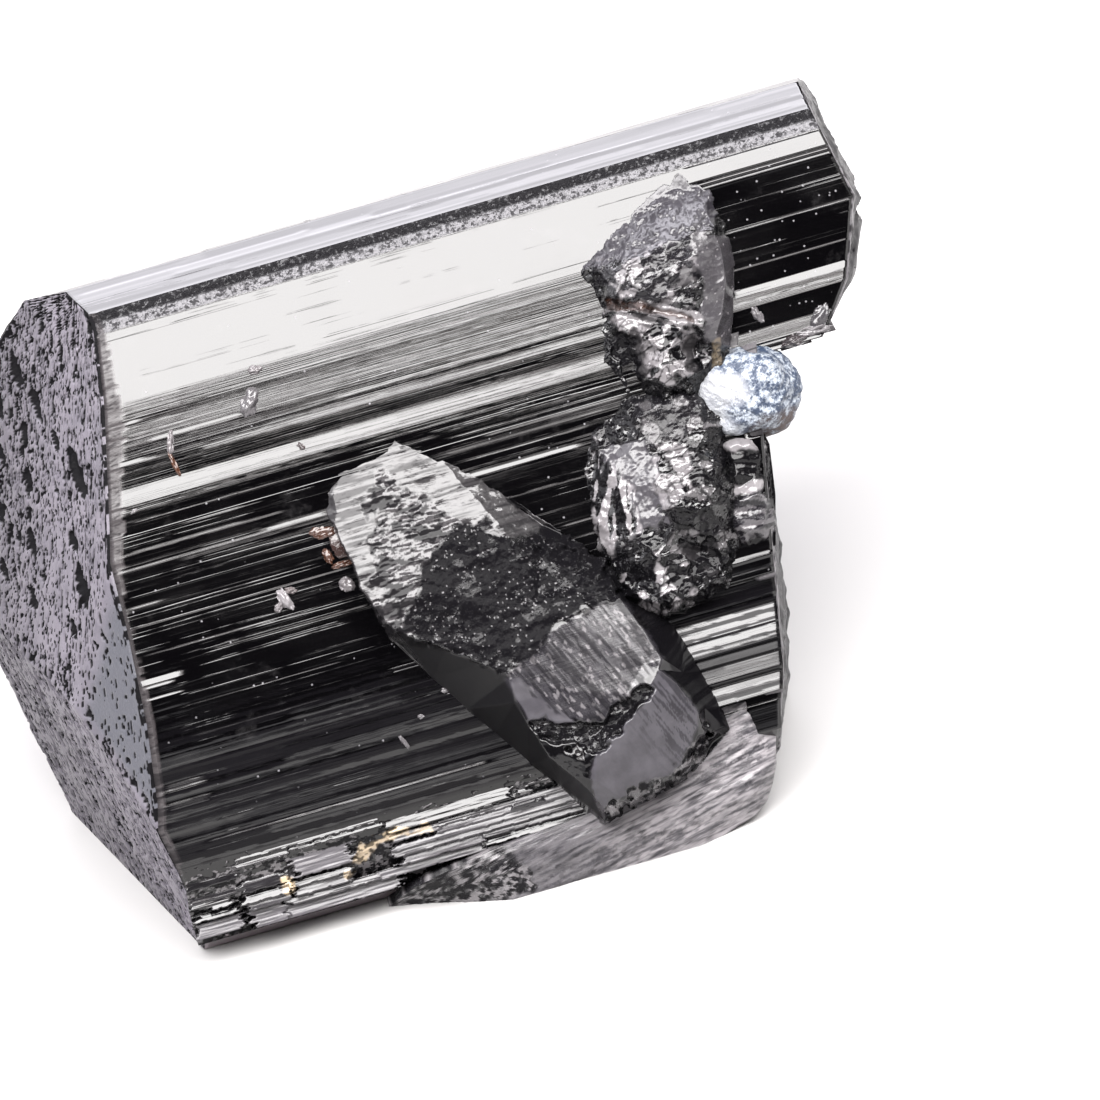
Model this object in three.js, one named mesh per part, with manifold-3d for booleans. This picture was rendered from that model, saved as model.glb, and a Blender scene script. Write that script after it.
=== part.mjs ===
// A hand-sized black tourmaline: one stubby striated prism lying on a long face, with a side crystal
// growing out of its front face, two broken crystal stubs beside it, a ragged right end, and a grain of
// pale feldspar wedged under the upper right shoulder. Millimetres, +Z up, the crystal's long axis along
// X, the front towards -Y, and the origin in the middle of the footprint that it rests on.
//
// Places on the front face are given as [along, down, out]: along the crystal from the front face's
// upper left corner, down the face from its upper edge, and straight out of the face.
import * as THREE from "three";
import { ConvexGeometry } from "three/addons/geometries/ConvexGeometry.js";
import { mergeVertices } from "three/addons/utils/BufferGeometryUtils.js";
import Module from "manifold-3d";

const wasm = await Module();
wasm.setup();

// ---- Driving dimensions -------------------------------------------------------------------------

const FACE_LEAN = 30; // degrees that the front face leans back from upright
const HEIGHT = 33.7; // from the resting face to the flat top
const CORNER = [-15.81, -2.39, 34.15]; // the front face's upper left corner, [x, y, z]

// The section's front, as [down, deep]: the face bulges a little, and turns under at the foot.
const FRONT = [
  [-0.7, 2.1], [0, 1.5], [0.6, 1.15], [4.6, 0.35], [11.2, 0], [16.8, 0], [22.4, 0.25], [26.9, 0.85],
  [30.8, 1.9], [33.0, 3.2], [34.8, 5.3], [35.45, 6.9],
];
// The rest of the section, as [y, z], from the foot of the back, up the back, to the flat top.
const BACK = [[16.6, 0], [18.7, 1.2], [20.2, 4.1], [20.4, 8.2], [14.3, 20.6], [7.8, 31.4], [3.15, HEIGHT]];

// The ends' facets, as planes: along = start + perDown * down + perDeep * deep.
const LEFT_FACETS = [
  { start: 0.6, perDown: -0.265, perDeep: -0.5 }, // the broad pitted facet
  { start: -2.4, perDown: -0.035, perDeep: -0.87 }, // the smooth facet beside the front face
  { start: -11.0, perDown: 0.24, perDeep: -0.21 }, // the lower facet, down to the foot
  { start: -19.6, perDown: 0, perDeep: 0.43 }, // the back facet
];
const LOWER_RIGHT_FACETS = [
  { start: 37.5, perDown: -0.2, perDeep: 0.06 },
  { start: 41.6, perDown: -0.34, perDeep: 0.03 },
  { start: 48.5, perDown: -0.54, perDeep: 0 },
  { start: 36.0, perDown: 0, perDeep: -0.28 },
];
const UPPER_RIGHT_FACETS = [
  { start: 41.9, perDown: 0.2, perDeep: 0.06 },
  { start: 44.4, perDown: -0.36, perDeep: 0.1 },
  { start: 47.9, perDown: -0.75, perDeep: 0.1 },
  { start: 44.6, perDown: 0.1, perDeep: -0.2 },
];
const SHOULDER_DOWN = 11.8; // the longer upper right part ends here, measured down the front face
const BLOCK_FROM = 34.4; // right of here, and below BLOCK_DOWN, the front face is set back
const BLOCK_DOWN = 1.6;
const BLOCK_SETBACK = 0.45;

const BAR_REACH = 45; // the prism's section is carried this far each way before its ends are cut
const STRIA_PITCH = 0.8; // between the larger ledges that run the crystal's whole length
const STRIA_DEPTH = 0.17;
const STRIA_LIP = 0.12; // half the width of a ledge's sloping side
const CHIP_SIZE = 0.75;
const CHIP_ROOT = 2.5; // how far a chip's root reaches below it
const GRAIN_GAP = 0.3; // between the feldspar grain and its pocket
const GRAIN_RADII = [3.1, 2.6, 2.7]; // along, down, out
const GRAIN_CENTRE = [34.2, 13.8, -1.5];
const GRAIN_KNOBS = 0.07; // how far its knobs rise, as a share of its radii

// ---- Places and simple solids -------------------------------------------------------------------

const lean = THREE.MathUtils.degToRad(FACE_LEAN);
const ALONG = new THREE.Vector3(1, 0, 0);
const DOWN = new THREE.Vector3(0, -Math.sin(lean), -Math.cos(lean));
const OUT = new THREE.Vector3(0, -Math.cos(lean), Math.sin(lean));

// A direction given on the front face.
function direction(along, down, out) {
  const vector = new THREE.Vector3().addScaledVector(ALONG, along);
  return vector.addScaledVector(DOWN, down).addScaledVector(OUT, out);
}

// A place given on the front face.
function place(along, down, out) {
  return direction(along, down, out).add(new THREE.Vector3(...CORNER));
}

// How deep the ground lies behind the front face's plane, at a place so far down.
function groundDepth(down) {
  return (CORNER[2] - down * Math.cos(lean)) / Math.sin(lean);
}

// A repeatable random number generator.
function randomFrom(seed) {
  let state = seed >>> 0;
  return () => {
    state = (state + 0x6d2b79f5) >>> 0;
    let mixed = Math.imul(state ^ (state >>> 15), state | 1);
    mixed ^= mixed + Math.imul(mixed ^ (mixed >>> 7), mixed | 61);
    return ((mixed ^ (mixed >>> 14)) >>> 0) / 4294967296;
  };
}

function solidOf(geometry) {
  const bare = geometry.clone();
  bare.deleteAttribute("normal");
  bare.deleteAttribute("uv");
  const merged = mergeVertices(bare, 1e-4);
  const mesh = new wasm.Mesh({
    numProp: 3,
    vertProperties: new Float32Array(merged.attributes.position.array),
    triVerts: new Uint32Array(merged.index.array),
  });
  return new wasm.Manifold(mesh);
}

function geometryOf(solid) {
  const mesh = solid.getMesh();
  const geometry = new THREE.BufferGeometry();
  geometry.setAttribute("position", new THREE.BufferAttribute(new Float32Array(mesh.vertProperties), 3));
  geometry.setIndex(new THREE.BufferAttribute(new Uint32Array(mesh.triVerts), 1));
  geometry.computeVertexNormals();
  return geometry;
}

// A box turned so that its first two axes follow two square directions.
function block(centre, first, second, sizes) {
  const third = new THREE.Vector3().crossVectors(first, second);
  const geometry = new THREE.BoxGeometry(...sizes);
  geometry.applyMatrix4(new THREE.Matrix4().makeBasis(first, second, third));
  geometry.translate(centre.x, centre.y, centre.z);
  return solidOf(geometry);
}

// Everything on the outer side of a plane, as far as this object reaches.
function halfSpace(point, outward) {
  const reach = 150;
  const normal = outward.clone().normalize();
  const helper = Math.abs(normal.x) < 0.7 ? ALONG : DOWN;
  const second = new THREE.Vector3().crossVectors(normal, helper).normalize();
  const centre = point.clone().addScaledVector(normal, reach / 2);
  return block(centre, normal, second, [reach, reach, reach]);
}

// What lies beyond a facet of an end: to its left where side is -1, to its right where it is +1.
function beyondFacet(facet, side) {
  const outward = direction(side, -side * facet.perDown, side * facet.perDeep);
  return halfSpace(place(facet.start, 0, 0), outward);
}

// A hull round places given on the front face.
function hullOf(places) {
  return solidOf(new ConvexGeometry(places.map((at) => place(...at))));
}

// ---- The prism ----------------------------------------------------------------------------------

// A stretch of the section from one corner to the next, stepped by shallow ledges.
function ledgedStretch([y, z], [nextY, nextZ], random) {
  const length = Math.hypot(nextY - y, nextZ - z);
  const points = [[y, z]];
  if (length < 2 * STRIA_PITCH || (z < 0.01 && nextZ < 0.01)) return points;
  const inward = [-(nextZ - z) / length, (nextY - y) / length];
  const steps = Math.round(length / STRIA_PITCH);
  for (let step = 1; step < steps; step++) {
    const middle = (step + 0.5 * (random() - 0.5)) / steps;
    const depth = STRIA_DEPTH * (0.3 + random());
    for (const [offset, sunk] of [[-STRIA_LIP, 0], [STRIA_LIP, depth]]) {
      const share = middle + offset / length;
      points.push([
        y + (nextY - y) * share + inward[0] * sunk,
        z + (nextZ - z) * share + inward[1] * sunk,
      ]);
    }
  }
  return points;
}

// The whole section, carried along X from one place to another.
function prism(from, to) {
  const random = randomFrom(11);
  const front = FRONT.map(([down, deep]) => {
    const corner = place(0, down, -deep);
    return [corner.y, Math.max(corner.z, 0)];
  });
  const corners = [...front, ...BACK];
  const outline = corners.flatMap((corner, i) =>
    ledgedStretch(corner, corners[(i + 1) % corners.length], random),
  );
  const shape = new THREE.Shape(outline.map(([y, z]) => new THREE.Vector2(y, z)));
  const geometry = new THREE.ExtrudeGeometry(shape, { depth: to - from, bevelEnabled: false, steps: 1 });
  // The shape's own x, y and z become the part's Y, Z and X.
  const turn = new THREE.Matrix4().set(0, 0, 1, 0, 1, 0, 0, 0, 0, 1, 0, 0, 0, 0, 0, 1);
  geometry.applyMatrix4(turn);
  geometry.translate(from, 0, 0);
  return solidOf(geometry);
}

// The bar is cut to the two ends' facets. Its right end is longer above the shoulder than below it.
function mainCrystal() {
  const bar = prism(-BAR_REACH, BAR_REACH);
  const aboveShoulder = halfSpace(place(0, SHOULDER_DOWN, 0), new THREE.Vector3(0, 0, 1));
  let upper = bar.intersect(aboveShoulder);
  for (const facet of UPPER_RIGHT_FACETS) upper = upper.subtract(beyondFacet(facet, 1));
  const corners = [BLOCK_FROM, BLOCK_FROM + 20].flatMap((along) =>
    [BLOCK_DOWN, SHOULDER_DOWN + 4].flatMap((down) => [[along, down, -BLOCK_SETBACK], [along, down, 5]]),
  );
  upper = upper.subtract(hullOf(corners));
  let lower = bar;
  for (const facet of LOWER_RIGHT_FACETS) lower = lower.subtract(beyondFacet(facet, 1));
  let body = lower.add(upper);
  for (const facet of LEFT_FACETS) body = body.subtract(beyondFacet(facet, -1));
  return body;
}

// ---- What grows out of the front face -----------------------------------------------------------

// A broken stub of crystal. Its outline is the foot of its sides, clockwise as seen from the front.
// Each side climbs steeply from there to the top planes, given as [out, per along, per down] at the
// outline's middle, and goes straight in below it.
function stub({ outline, steep, foot = 0, root = 3, tops }) {
  const middle = [0, 1].map((axis) => outline.reduce((sum, at) => sum + at[axis], 0) / outline.length);
  const blank = [40, 40, 20];
  let solid = block(place(middle[0], middle[1], blank[2] / 2 - root), ALONG, DOWN, blank);
  outline.forEach(([along, down], i) => {
    const [nextAlong, nextDown] = outline[(i + 1) % outline.length];
    const length = Math.hypot(nextAlong - along, nextDown - down);
    const outwards = [(nextDown - down) / length, -(nextAlong - along) / length];
    for (const rise of [1, 0]) {
      const normal = direction(outwards[0] * steep, outwards[1] * steep, rise);
      solid = solid.subtract(halfSpace(place(along, down, foot), normal));
    }
  });
  for (const [out, perAlong, perDown] of tops) {
    const normal = direction(-perAlong, -perDown, 1);
    solid = solid.subtract(halfSpace(place(middle[0], middle[1], out), normal));
  }
  return solid;
}

const UPPER_STUB = [
  {
    outline: [
      [27.2, 4.8], [28.3, 3.4], [30.2, 2.4], [33.0, 1.2], [34.6, 2.1], [35.3, 3.6], [35.4, 5.8],
      [34.7, 8.3], [33.6, 10.9], [31.9, 12.4], [28.3, 12.4], [27.0, 10.1],
    ],
    steep: 1.3,
    tops: [[1.5, 0.05, 0.02], [2.6, 0.1, 0.42]],
  },
  {
    outline: [[28.2, 7.6], [31.2, 6.6], [32.6, 9.0], [31.6, 12.2], [28.8, 12.0]],
    steep: 1.8,
    tops: [[2.3, 0.1, -0.12]],
  },
  {
    outline: [[32.2, 3.4], [34.6, 3.2], [35.3, 5.6], [34.4, 9.4], [33.0, 10.4]],
    steep: 2.2,
    tops: [[2.2, -0.2, 0]],
  },
];
const LOWER_STUB = [
  {
    outline: [
      [24.1, 16.4], [25.0, 14.2], [27.6, 12.4], [30.8, 12.5], [32.4, 14.7], [32.5, 18.5], [31.5, 21.6],
      [30.0, 23.8], [26.0, 24.3], [24.3, 22.8], [23.6, 19.6],
    ],
    steep: 1.1,
    tops: [[1.7, 0.03, 0.02]],
  },
  { outline: [[25.2, 14.6], [27.8, 14.2], [28, 19.4], [25.6, 19.8]], steep: 2.6, tops: [[2.6, -0.25, 0.05]] },
  { outline: [[27.8, 13.6], [29.6, 13.4], [30.0, 18.4], [28.2, 18.8]], steep: 3, tops: [[2.9, 0.15, -0.06]] },
  { outline: [[29.4, 13.8], [31.9, 14.2], [32.2, 18.4], [29.8, 18.8]], steep: 2.4, tops: [[2.4, 0.2, 0.1]] },
  { outline: [[24.8, 21.0], [28.6, 20.6], [28.8, 23.8], [25.6, 24.2]], steep: 1.6, tops: [[2.2, 0, -0.3]] },
];
const FRAGMENTS = [
  { outline: [[32, 16.3], [33.9, 16.2], [34.2, 18.2], [32.2, 18.6]], steep: 1.4, tops: [[0.7, -0.25, 0.3]] },
  { outline: [[31, 19], [33.7, 18.9], [33.2, 21.4], [31.4, 22]], steep: 1.5, tops: [[1, -0.3, -0.1]] },
];

// The ramp that the front face makes over the side crystal where it comes out, and its broken back.
const SIDE_RAMP = {
  outline: [
    [9.7, 12.9], [11.0, 11.7], [14.3, 10.8], [16.4, 12.5], [20.9, 17.4], [24.4, 21.5], [24.6, 24.6],
    [17.0, 25.6], [12.4, 22.2], [10.4, 18.4],
  ],
  steep: 0.9,
  tops: [[2.5, 0.04, 0.26], [2.75, 0.05, 0.02]],
};
// The side crystal itself, which stands clear of the front face at its lower end.
const SIDE_CRYSTAL = {
  outline: [
    [11.7, 21.2], [16.5, 15.2], [23.6, 20.2], [26.3, 24.0], [28.0, 31.6], [25.4, 33.6], [19.7, 35.2],
  ],
  steep: 1.45,
  foot: -0.6,
  root: 6,
  tops: [[3.3, 0.04, 0.1], [4.75, 0.07, -0.42], [5.0, 0.35, -0.12]],
};

// A chip of broken crystal: a hull of points scattered over a small ball, with a root below it.
function chip(at, size, random) {
  const corners = 9;
  const points = [[at[0], at[1], at[2] - CHIP_ROOT]];
  for (let i = 0; i < corners; i++) {
    const height = 1 - (2 * (i + 0.5)) / corners;
    const ring = Math.sqrt(1 - height * height);
    const turn = i * 2.4 + random();
    const reach = size * (0.7 + 0.6 * random());
    points.push([
      at[0] + reach * ring * Math.cos(turn),
      at[1] + reach * ring * Math.sin(turn),
      at[2] + reach * height * 0.8,
    ]);
  }
  return hullOf(points);
}

// Chips spread over a four-sided patch of the face, at a height above it.
function chips({ from, to, out, count, seed }) {
  const random = randomFrom(seed);
  const made = [];
  for (let i = 0; i < count; i++) {
    const along = from[0] + (to[0] - from[0]) * random();
    const down = from[1] + (to[1] - from[1]) * random();
    made.push(chip([along, down, out - 0.35 * random()], CHIP_SIZE * (0.5 + random()), random));
  }
  return made;
}

const CHIP_PATCHES = [
  { from: [28.4, 4.2], to: [34.0, 11.4], out: 1.6, count: 14, seed: 3 },
  { from: [24.8, 14.6], to: [31.6, 23.2], out: 1.9, count: 22, seed: 5 },
  { from: [12.6, 17.6], to: [23.4, 22.8], out: 2.5, count: 16, seed: 7 },
  { from: [-3.2, 31.4], to: [3.2, 34.6], out: -3.3, count: 10, seed: 9 },
  { from: [8.5, 34.2], to: [14.0, 36.4], out: -3.3, count: 10, seed: 13 },
];

// ---- The foot -----------------------------------------------------------------------------------

// The mass under the lower right: [along, down] of its lower edge, where it meets the ground.
const FOOT_EDGE = [
  [4.0, 35.4], [9.0, 36.3], [13.6, 37.5], [24.5, 37.5],
  [28.3, 37.0], [29.8, 35.9], [30.7, 34.0], [31.2, 31.6],
];

function footMass() {
  const places = FOOT_EDGE.flatMap(([along, down]) => [[along, down, -groundDepth(down)], [along, 30.6, -8]]);
  places.push([9.8, 31.0, -1.95], [31.0, 31.0, -1.95], [14.0, 34.8, -2.4], [29.2, 34.4, -2.4]);
  return hullOf(places);
}

// Thin splinters that lie along the foot of the front face: [from, to, top, bottom, out, tilt].
const SPLINTER_THICK = 2.4;
const SPLINTERS = [
  [7.8, 15.2, 30.9, 32.1, -1.4, 16], [-0.6, 7.9, 30.8, 31.3, -1.7, 20], [7.9, 19.0, 32.0, 33.2, -1.8, 14],
  [12.6, 18.9, 33.2, 34.2, -2.1, 16], [-3.6, -0.8, 31.0, 32.1, -2.0, 4], [2.2, 5.4, 31.6, 32.9, -2.2, -8],
  [-3.1, 3.4, 32.9, 33.9, -3.1, 8], [-1.4, 8.4, 33.9, 34.8, -3.9, 6], [5.6, 12.2, 34.3, 35.6, -3.3, 4],
];

function splinter([from, to, top, bottom, out, tilt]) {
  const angle = THREE.MathUtils.degToRad(tilt);
  const outward = direction(0, -Math.sin(angle), Math.cos(angle));
  const centre = place((from + to) / 2, (top + bottom) / 2, out);
  centre.addScaledVector(outward, -SPLINTER_THICK / 2);
  return block(centre, ALONG, outward, [to - from, SPLINTER_THICK, bottom - top]);
}

// ---- Pits in the broad facet of the left end ----------------------------------------------------

// [along, down, length] of the larger ones, which are long, narrow and upright.
const PITS = [
  [-3.4, 7.6, 3.4], [-4.9, 13.8, 3.0], [-4.7, 11.3, 1.4], [-5.4, 0.9, 2.6], [-4.7, 3.2, 2.4],
  [-4.1, 5.4, 1.4], [-6.3, 7.2, 1.6], [-7.2, 10.6, 1.8], [-6.1, 16.0, 1.2], [-7.9, 13.6, 1.5],
  [-5.9, 4.6, 1.6], [-6.9, 2.4, 2.2], [-8.6, 8.4, 2.0], [-9.2, 11.6, 1.5], [-7.6, 5.2, 1.6], [-5.6, 18, 1],
];
const PIT_WIDTH = 0.42;
const PIT_DEPTH = 0.5;

function pit([along, down, length]) {
  const facet = LEFT_FACETS[0];
  const deep = (along - facet.start - facet.perDown * down) / facet.perDeep;
  const normal = direction(-1, facet.perDown, -facet.perDeep).normalize();
  const upright = direction(facet.perDown, 1, 0).normalize();
  const geometry = new THREE.OctahedronGeometry(1, 0);
  geometry.scale(PIT_DEPTH, length / 2, PIT_WIDTH * (0.6 + 0.2 * length));
  const third = new THREE.Vector3().crossVectors(normal, upright).normalize();
  const second = new THREE.Vector3().crossVectors(third, normal);
  geometry.applyMatrix4(new THREE.Matrix4().makeBasis(normal, second, third));
  const centre = place(along, down, -deep);
  geometry.translate(centre.x, centre.y, centre.z);
  return solidOf(geometry);
}

// ---- The feldspar grain -------------------------------------------------------------------------

// A knobbly ellipsoid; grow widens it for the pocket that it sits in.
function grain(grow) {
  const geometry = new THREE.IcosahedronGeometry(1, 3);
  const points = geometry.attributes.position;
  const at = new THREE.Vector3();
  for (let i = 0; i < points.count; i++) {
    at.fromBufferAttribute(points, i);
    const broad = Math.sin(5.1 * at.x + 1.7) * Math.sin(4.3 * at.y + 0.4);
    const narrow = 0.85 * Math.sin(6.7 * at.z + at.x);
    const swell = 1 + GRAIN_KNOBS * (broad + narrow);
    const seat = place(
      GRAIN_CENTRE[0] + at.x * (GRAIN_RADII[0] * swell + grow),
      GRAIN_CENTRE[1] + at.y * (GRAIN_RADII[1] * swell + grow),
      GRAIN_CENTRE[2] - at.z * (GRAIN_RADII[2] * swell + grow),
    );
    points.setXYZ(i, seat.x, seat.y, seat.z);
  }
  return solidOf(geometry);
}

// ---- Assembly -----------------------------------------------------------------------------------

function specimen() {
  const parts = [
    footMass(),
    ...[...UPPER_STUB, ...LOWER_STUB, ...FRAGMENTS, SIDE_RAMP, SIDE_CRYSTAL].map(stub),
    ...SPLINTERS.map(splinter),
    ...CHIP_PATCHES.flatMap(chips),
  ];
  let solid = mainCrystal();
  for (const part of parts) solid = solid.add(part);
  for (const hollow of PITS.map(pit)) solid = solid.subtract(hollow);
  solid = solid.subtract(halfSpace(new THREE.Vector3(0, 0, 0), new THREE.Vector3(0, 0, -1)));
  return solid.subtract(grain(GRAIN_GAP));
}

function piece(name, solid, look) {
  const mesh = new THREE.Mesh(geometryOf(solid), new THREE.MeshStandardMaterial(look));
  mesh.name = name;
  return mesh;
}

const blackTourmaline = new THREE.Group();
blackTourmaline.add(
  piece("tourmaline", specimen(), { color: 0x17151a, roughness: 0.22, metalness: 0 }),
  piece("feldspar_grain", grain(0), { color: 0xb9c8d8, roughness: 0.55, metalness: 0 }),
);
export default blackTourmaline;
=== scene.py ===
# %% [markdown]
# # Black tourmaline crystal
# A stubby, striated prism of black tourmaline lies on one of its long faces.
# Its left end is a matte, pitted pyramid. A smaller crystal grows out of the
# front face, two broken crystal stubs stand beside it, and a grain of
# blue-white feldspar sits in a notch at the right.
# Each cell below makes one piece or one finish, and says why it is made so.

# %% [markdown]
# ## The fixed frame
# The solid model comes first and never changes. Every dressed piece is put
# round it in the same place and at the same size, so nothing needs fitting.

import math

import bpy
import numpy as np
from mathutils import Matrix


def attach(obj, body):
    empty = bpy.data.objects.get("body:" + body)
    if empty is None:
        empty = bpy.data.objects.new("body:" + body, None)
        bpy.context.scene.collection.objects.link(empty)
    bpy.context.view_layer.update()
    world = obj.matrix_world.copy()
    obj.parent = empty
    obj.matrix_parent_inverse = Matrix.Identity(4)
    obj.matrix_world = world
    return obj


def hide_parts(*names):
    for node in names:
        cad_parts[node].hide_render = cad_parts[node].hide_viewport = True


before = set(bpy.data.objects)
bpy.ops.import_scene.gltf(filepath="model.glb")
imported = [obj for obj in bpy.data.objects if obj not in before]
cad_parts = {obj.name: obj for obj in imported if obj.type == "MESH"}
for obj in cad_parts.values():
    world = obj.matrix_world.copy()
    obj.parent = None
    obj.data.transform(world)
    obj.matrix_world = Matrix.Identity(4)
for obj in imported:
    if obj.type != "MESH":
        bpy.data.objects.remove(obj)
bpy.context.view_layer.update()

# %% [markdown]
# ## Coordinates that follow the front face
# The striations run level along the crystal, and the front face leans back by
# 30 degrees. So points are given as steps along the crystal, down the leaning
# face and straight out of it, in millimetres, and turned to the room's axes
# in one place.

# %% Front-face coordinates
MM = 0.001
LEAN = math.radians(30.0)
CORNER = np.array([-15.81, -2.39, 34.15])
DOWN = np.array([0.0, -math.sin(LEAN), -math.cos(LEAN)])
OUT = np.array([0.0, -math.cos(LEAN), math.sin(LEAN)])
HEIGHT = 33.7


def place(along, down, out):
    """The face's corner, plus along times X, plus down times DOWN, plus out times OUT."""
    along, down, out = np.broadcast_arrays(along, down, out)
    y = CORNER[1] + down * DOWN[1] + out * OUT[1]
    z = CORNER[2] + down * DOWN[2] + out * OUT[2]
    return np.stack([CORNER[0] + along, y, z], axis=-1)


def face_steps(y, z):
    """The reverse of place for a point of a cross-section: its steps down and deep, deep being minus out."""
    dy, dz = y - CORNER[1], z - CORNER[2]
    return dy * DOWN[1] + dz * DOWN[2], -(dy * OUT[1] + dz * OUT[2])


print("middle of the front face:", place(21.0, 19.1, 0.0).round(2))

# %% [markdown]
# ## Camera
# The camera looks straight at the front face from far off, with a long lens
# and a roll of 16 degrees, because the crystal was set down at a slant.
# Depth of field stays off, so other views stay sharp as well.

# %% Camera
CAMERA_DISTANCE = 800.0
FIELD_WIDTH = 61.6
SENSOR = 36.0
ROLL = math.radians(16.0)
target = place(21.02, 19.13, 0.0)
eye = target + CAMERA_DISTANCE * OUT
right = np.array([math.cos(ROLL), 0.0, 0.0]) + math.sin(ROLL) * DOWN
up = np.array([math.sin(ROLL), 0.0, 0.0]) - math.cos(ROLL) * DOWN

camera_data = bpy.data.cameras.new("camera")
camera_data.sensor_width = SENSOR
camera_data.lens = SENSOR * CAMERA_DISTANCE / FIELD_WIDTH
camera_data.clip_start = 0.05
camera_data.clip_end = 20.0
camera = bpy.data.objects.new("camera", camera_data)
bpy.context.collection.objects.link(camera)
turn = np.eye(4)
turn[:3, 0], turn[:3, 1], turn[:3, 2], turn[:3, 3] = right, up, OUT, eye * MM
camera.matrix_world = Matrix(turn.tolist())
bpy.context.scene.camera = camera
print("lens", round(camera_data.lens, 1), "mm, eye at", (eye * MM).round(3))

# %% [markdown]
# ## Light
# A black, glassy crystal shows almost nothing but what it mirrors, so the
# lights are its real colours. A large softbox high in front whitens every
# facet that tips upward, a panel behind whitens the top face, one at the left
# opens the matte end, and the side behind the camera stays dark, which keeps
# the face black. An area light's brightness is its power over pi times its area.

# %% Softboxes
CENTRE = np.array([0.0, 0.0, 0.015])


def softbox(name, azimuth, elevation, distance, width, height, brightness, colour):
    """A soft rectangle facing the crystal from azimuth and elevation in degrees, power = pi * area * brightness."""
    a, e = math.radians(azimuth), math.radians(elevation)
    away = np.array([math.sin(a) * math.cos(e), -math.cos(a) * math.cos(e), math.sin(e)])
    data = bpy.data.lights.new(name, "AREA")
    data.shape = "RECTANGLE"
    data.size, data.size_y = width, height
    data.energy = math.pi * width * height * brightness
    data.color = colour
    light = bpy.data.objects.new(name, data)
    bpy.context.collection.objects.link(light)
    side = np.array([math.cos(a), math.sin(a), 0.0])
    pose = np.eye(4)
    pose[:3, 0], pose[:3, 1], pose[:3, 2] = side, np.cross(away, side), away
    pose[:3, 3] = CENTRE + away * distance
    light.matrix_world = Matrix(pose.tolist())
    light.visible_camera = False
    return light


softbox("key_softbox", 6, 63, 0.62, 1.3, 0.42, 15.0, (1.0, 0.98, 0.975))
softbox("key_fringe", 4, 39.5, 0.66, 1.3, 0.055, 5.5, (1.0, 0.95, 0.94))
softbox("key_faint_fringe", 4, 35.5, 0.70, 1.3, 0.05, 1.6, (1.0, 0.95, 0.95))
softbox("back_panel", 180, 33, 0.80, 1.6, 0.62, 6.5, (0.96, 0.94, 1.0))
softbox("left_panel", -95, 35, 0.70, 0.7, 0.6, 2.6, (0.97, 0.96, 1.0))
softbox("right_panel", 95, 30, 0.80, 0.6, 0.6, 1.6, (1.0, 0.98, 0.96))
softbox("front_card", 0, 3, 1.10, 1.6, 0.30, 0.9, (0.98, 0.96, 1.0))

# %% [markdown]
# ## Floor and room
# The floor is matt pale paper. The room around it has two faces: the camera
# sees plain white, and the crystal mirrors a dim one.

# %% Floor and room
FLOOR = 3.0
floor_mesh = bpy.data.meshes.new("floor")
floor_mesh.from_pydata([(-FLOOR, -FLOOR, 0), (FLOOR, -FLOOR, 0), (FLOOR, FLOOR, 0), (-FLOOR, FLOOR, 0)],
                       [], [(0, 1, 2, 3)])
floor = bpy.data.objects.new("floor", floor_mesh)
bpy.context.collection.objects.link(floor)
paper = bpy.data.materials.new("floor_paper")
paper.use_nodes = True
for socket, value in (("Base Color", (0.34, 0.337, 0.335, 1)), ("Roughness", 0.9), ("Specular IOR Level", 0.0)):
    paper.node_tree.nodes["Principled BSDF"].inputs[socket].default_value = value
floor_mesh.materials.append(paper)

world = bpy.data.worlds.new("room")
bpy.context.scene.world = world
world.use_nodes = True
nodes, links = world.node_tree.nodes, world.node_tree.links
nodes.clear()
ray, mix, out = (nodes.new("ShaderNode" + kind) for kind in ("LightPath", "MixShader", "OutputWorld"))
links.new(ray.outputs["Is Camera Ray"], mix.inputs[0])
# Socket 1 is what the crystal mirrors, and socket 2 what the camera sees.
for socket, glow, strength in ((1, (0.9, 0.88, 1.0, 1), 0.025), (2, (1, 1, 1, 1), 1.0)):
    backdrop = nodes.new("ShaderNodeBackground")
    backdrop.inputs["Color"].default_value = glow
    backdrop.inputs["Strength"].default_value = strength
    links.new(backdrop.outputs[0], mix.inputs[socket])
links.new(mix.outputs[0], out.inputs["Surface"])
bpy.context.scene.view_settings.view_transform = "Standard"
print("floor", 2 * FLOOR, "m across")

# %% [markdown]
# ## Closed surfaces from grids
# Every piece is a grid of points worked out as whole arrays. Two ways of
# closing a grid are enough here. A tube is a ring carried along the crystal,
# shut by a point at each end. A patch is a relief laid on the face, shut by a
# point buried below it. Faces are turned so that the volume comes out positive,
# which means that they all point outward.

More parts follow.
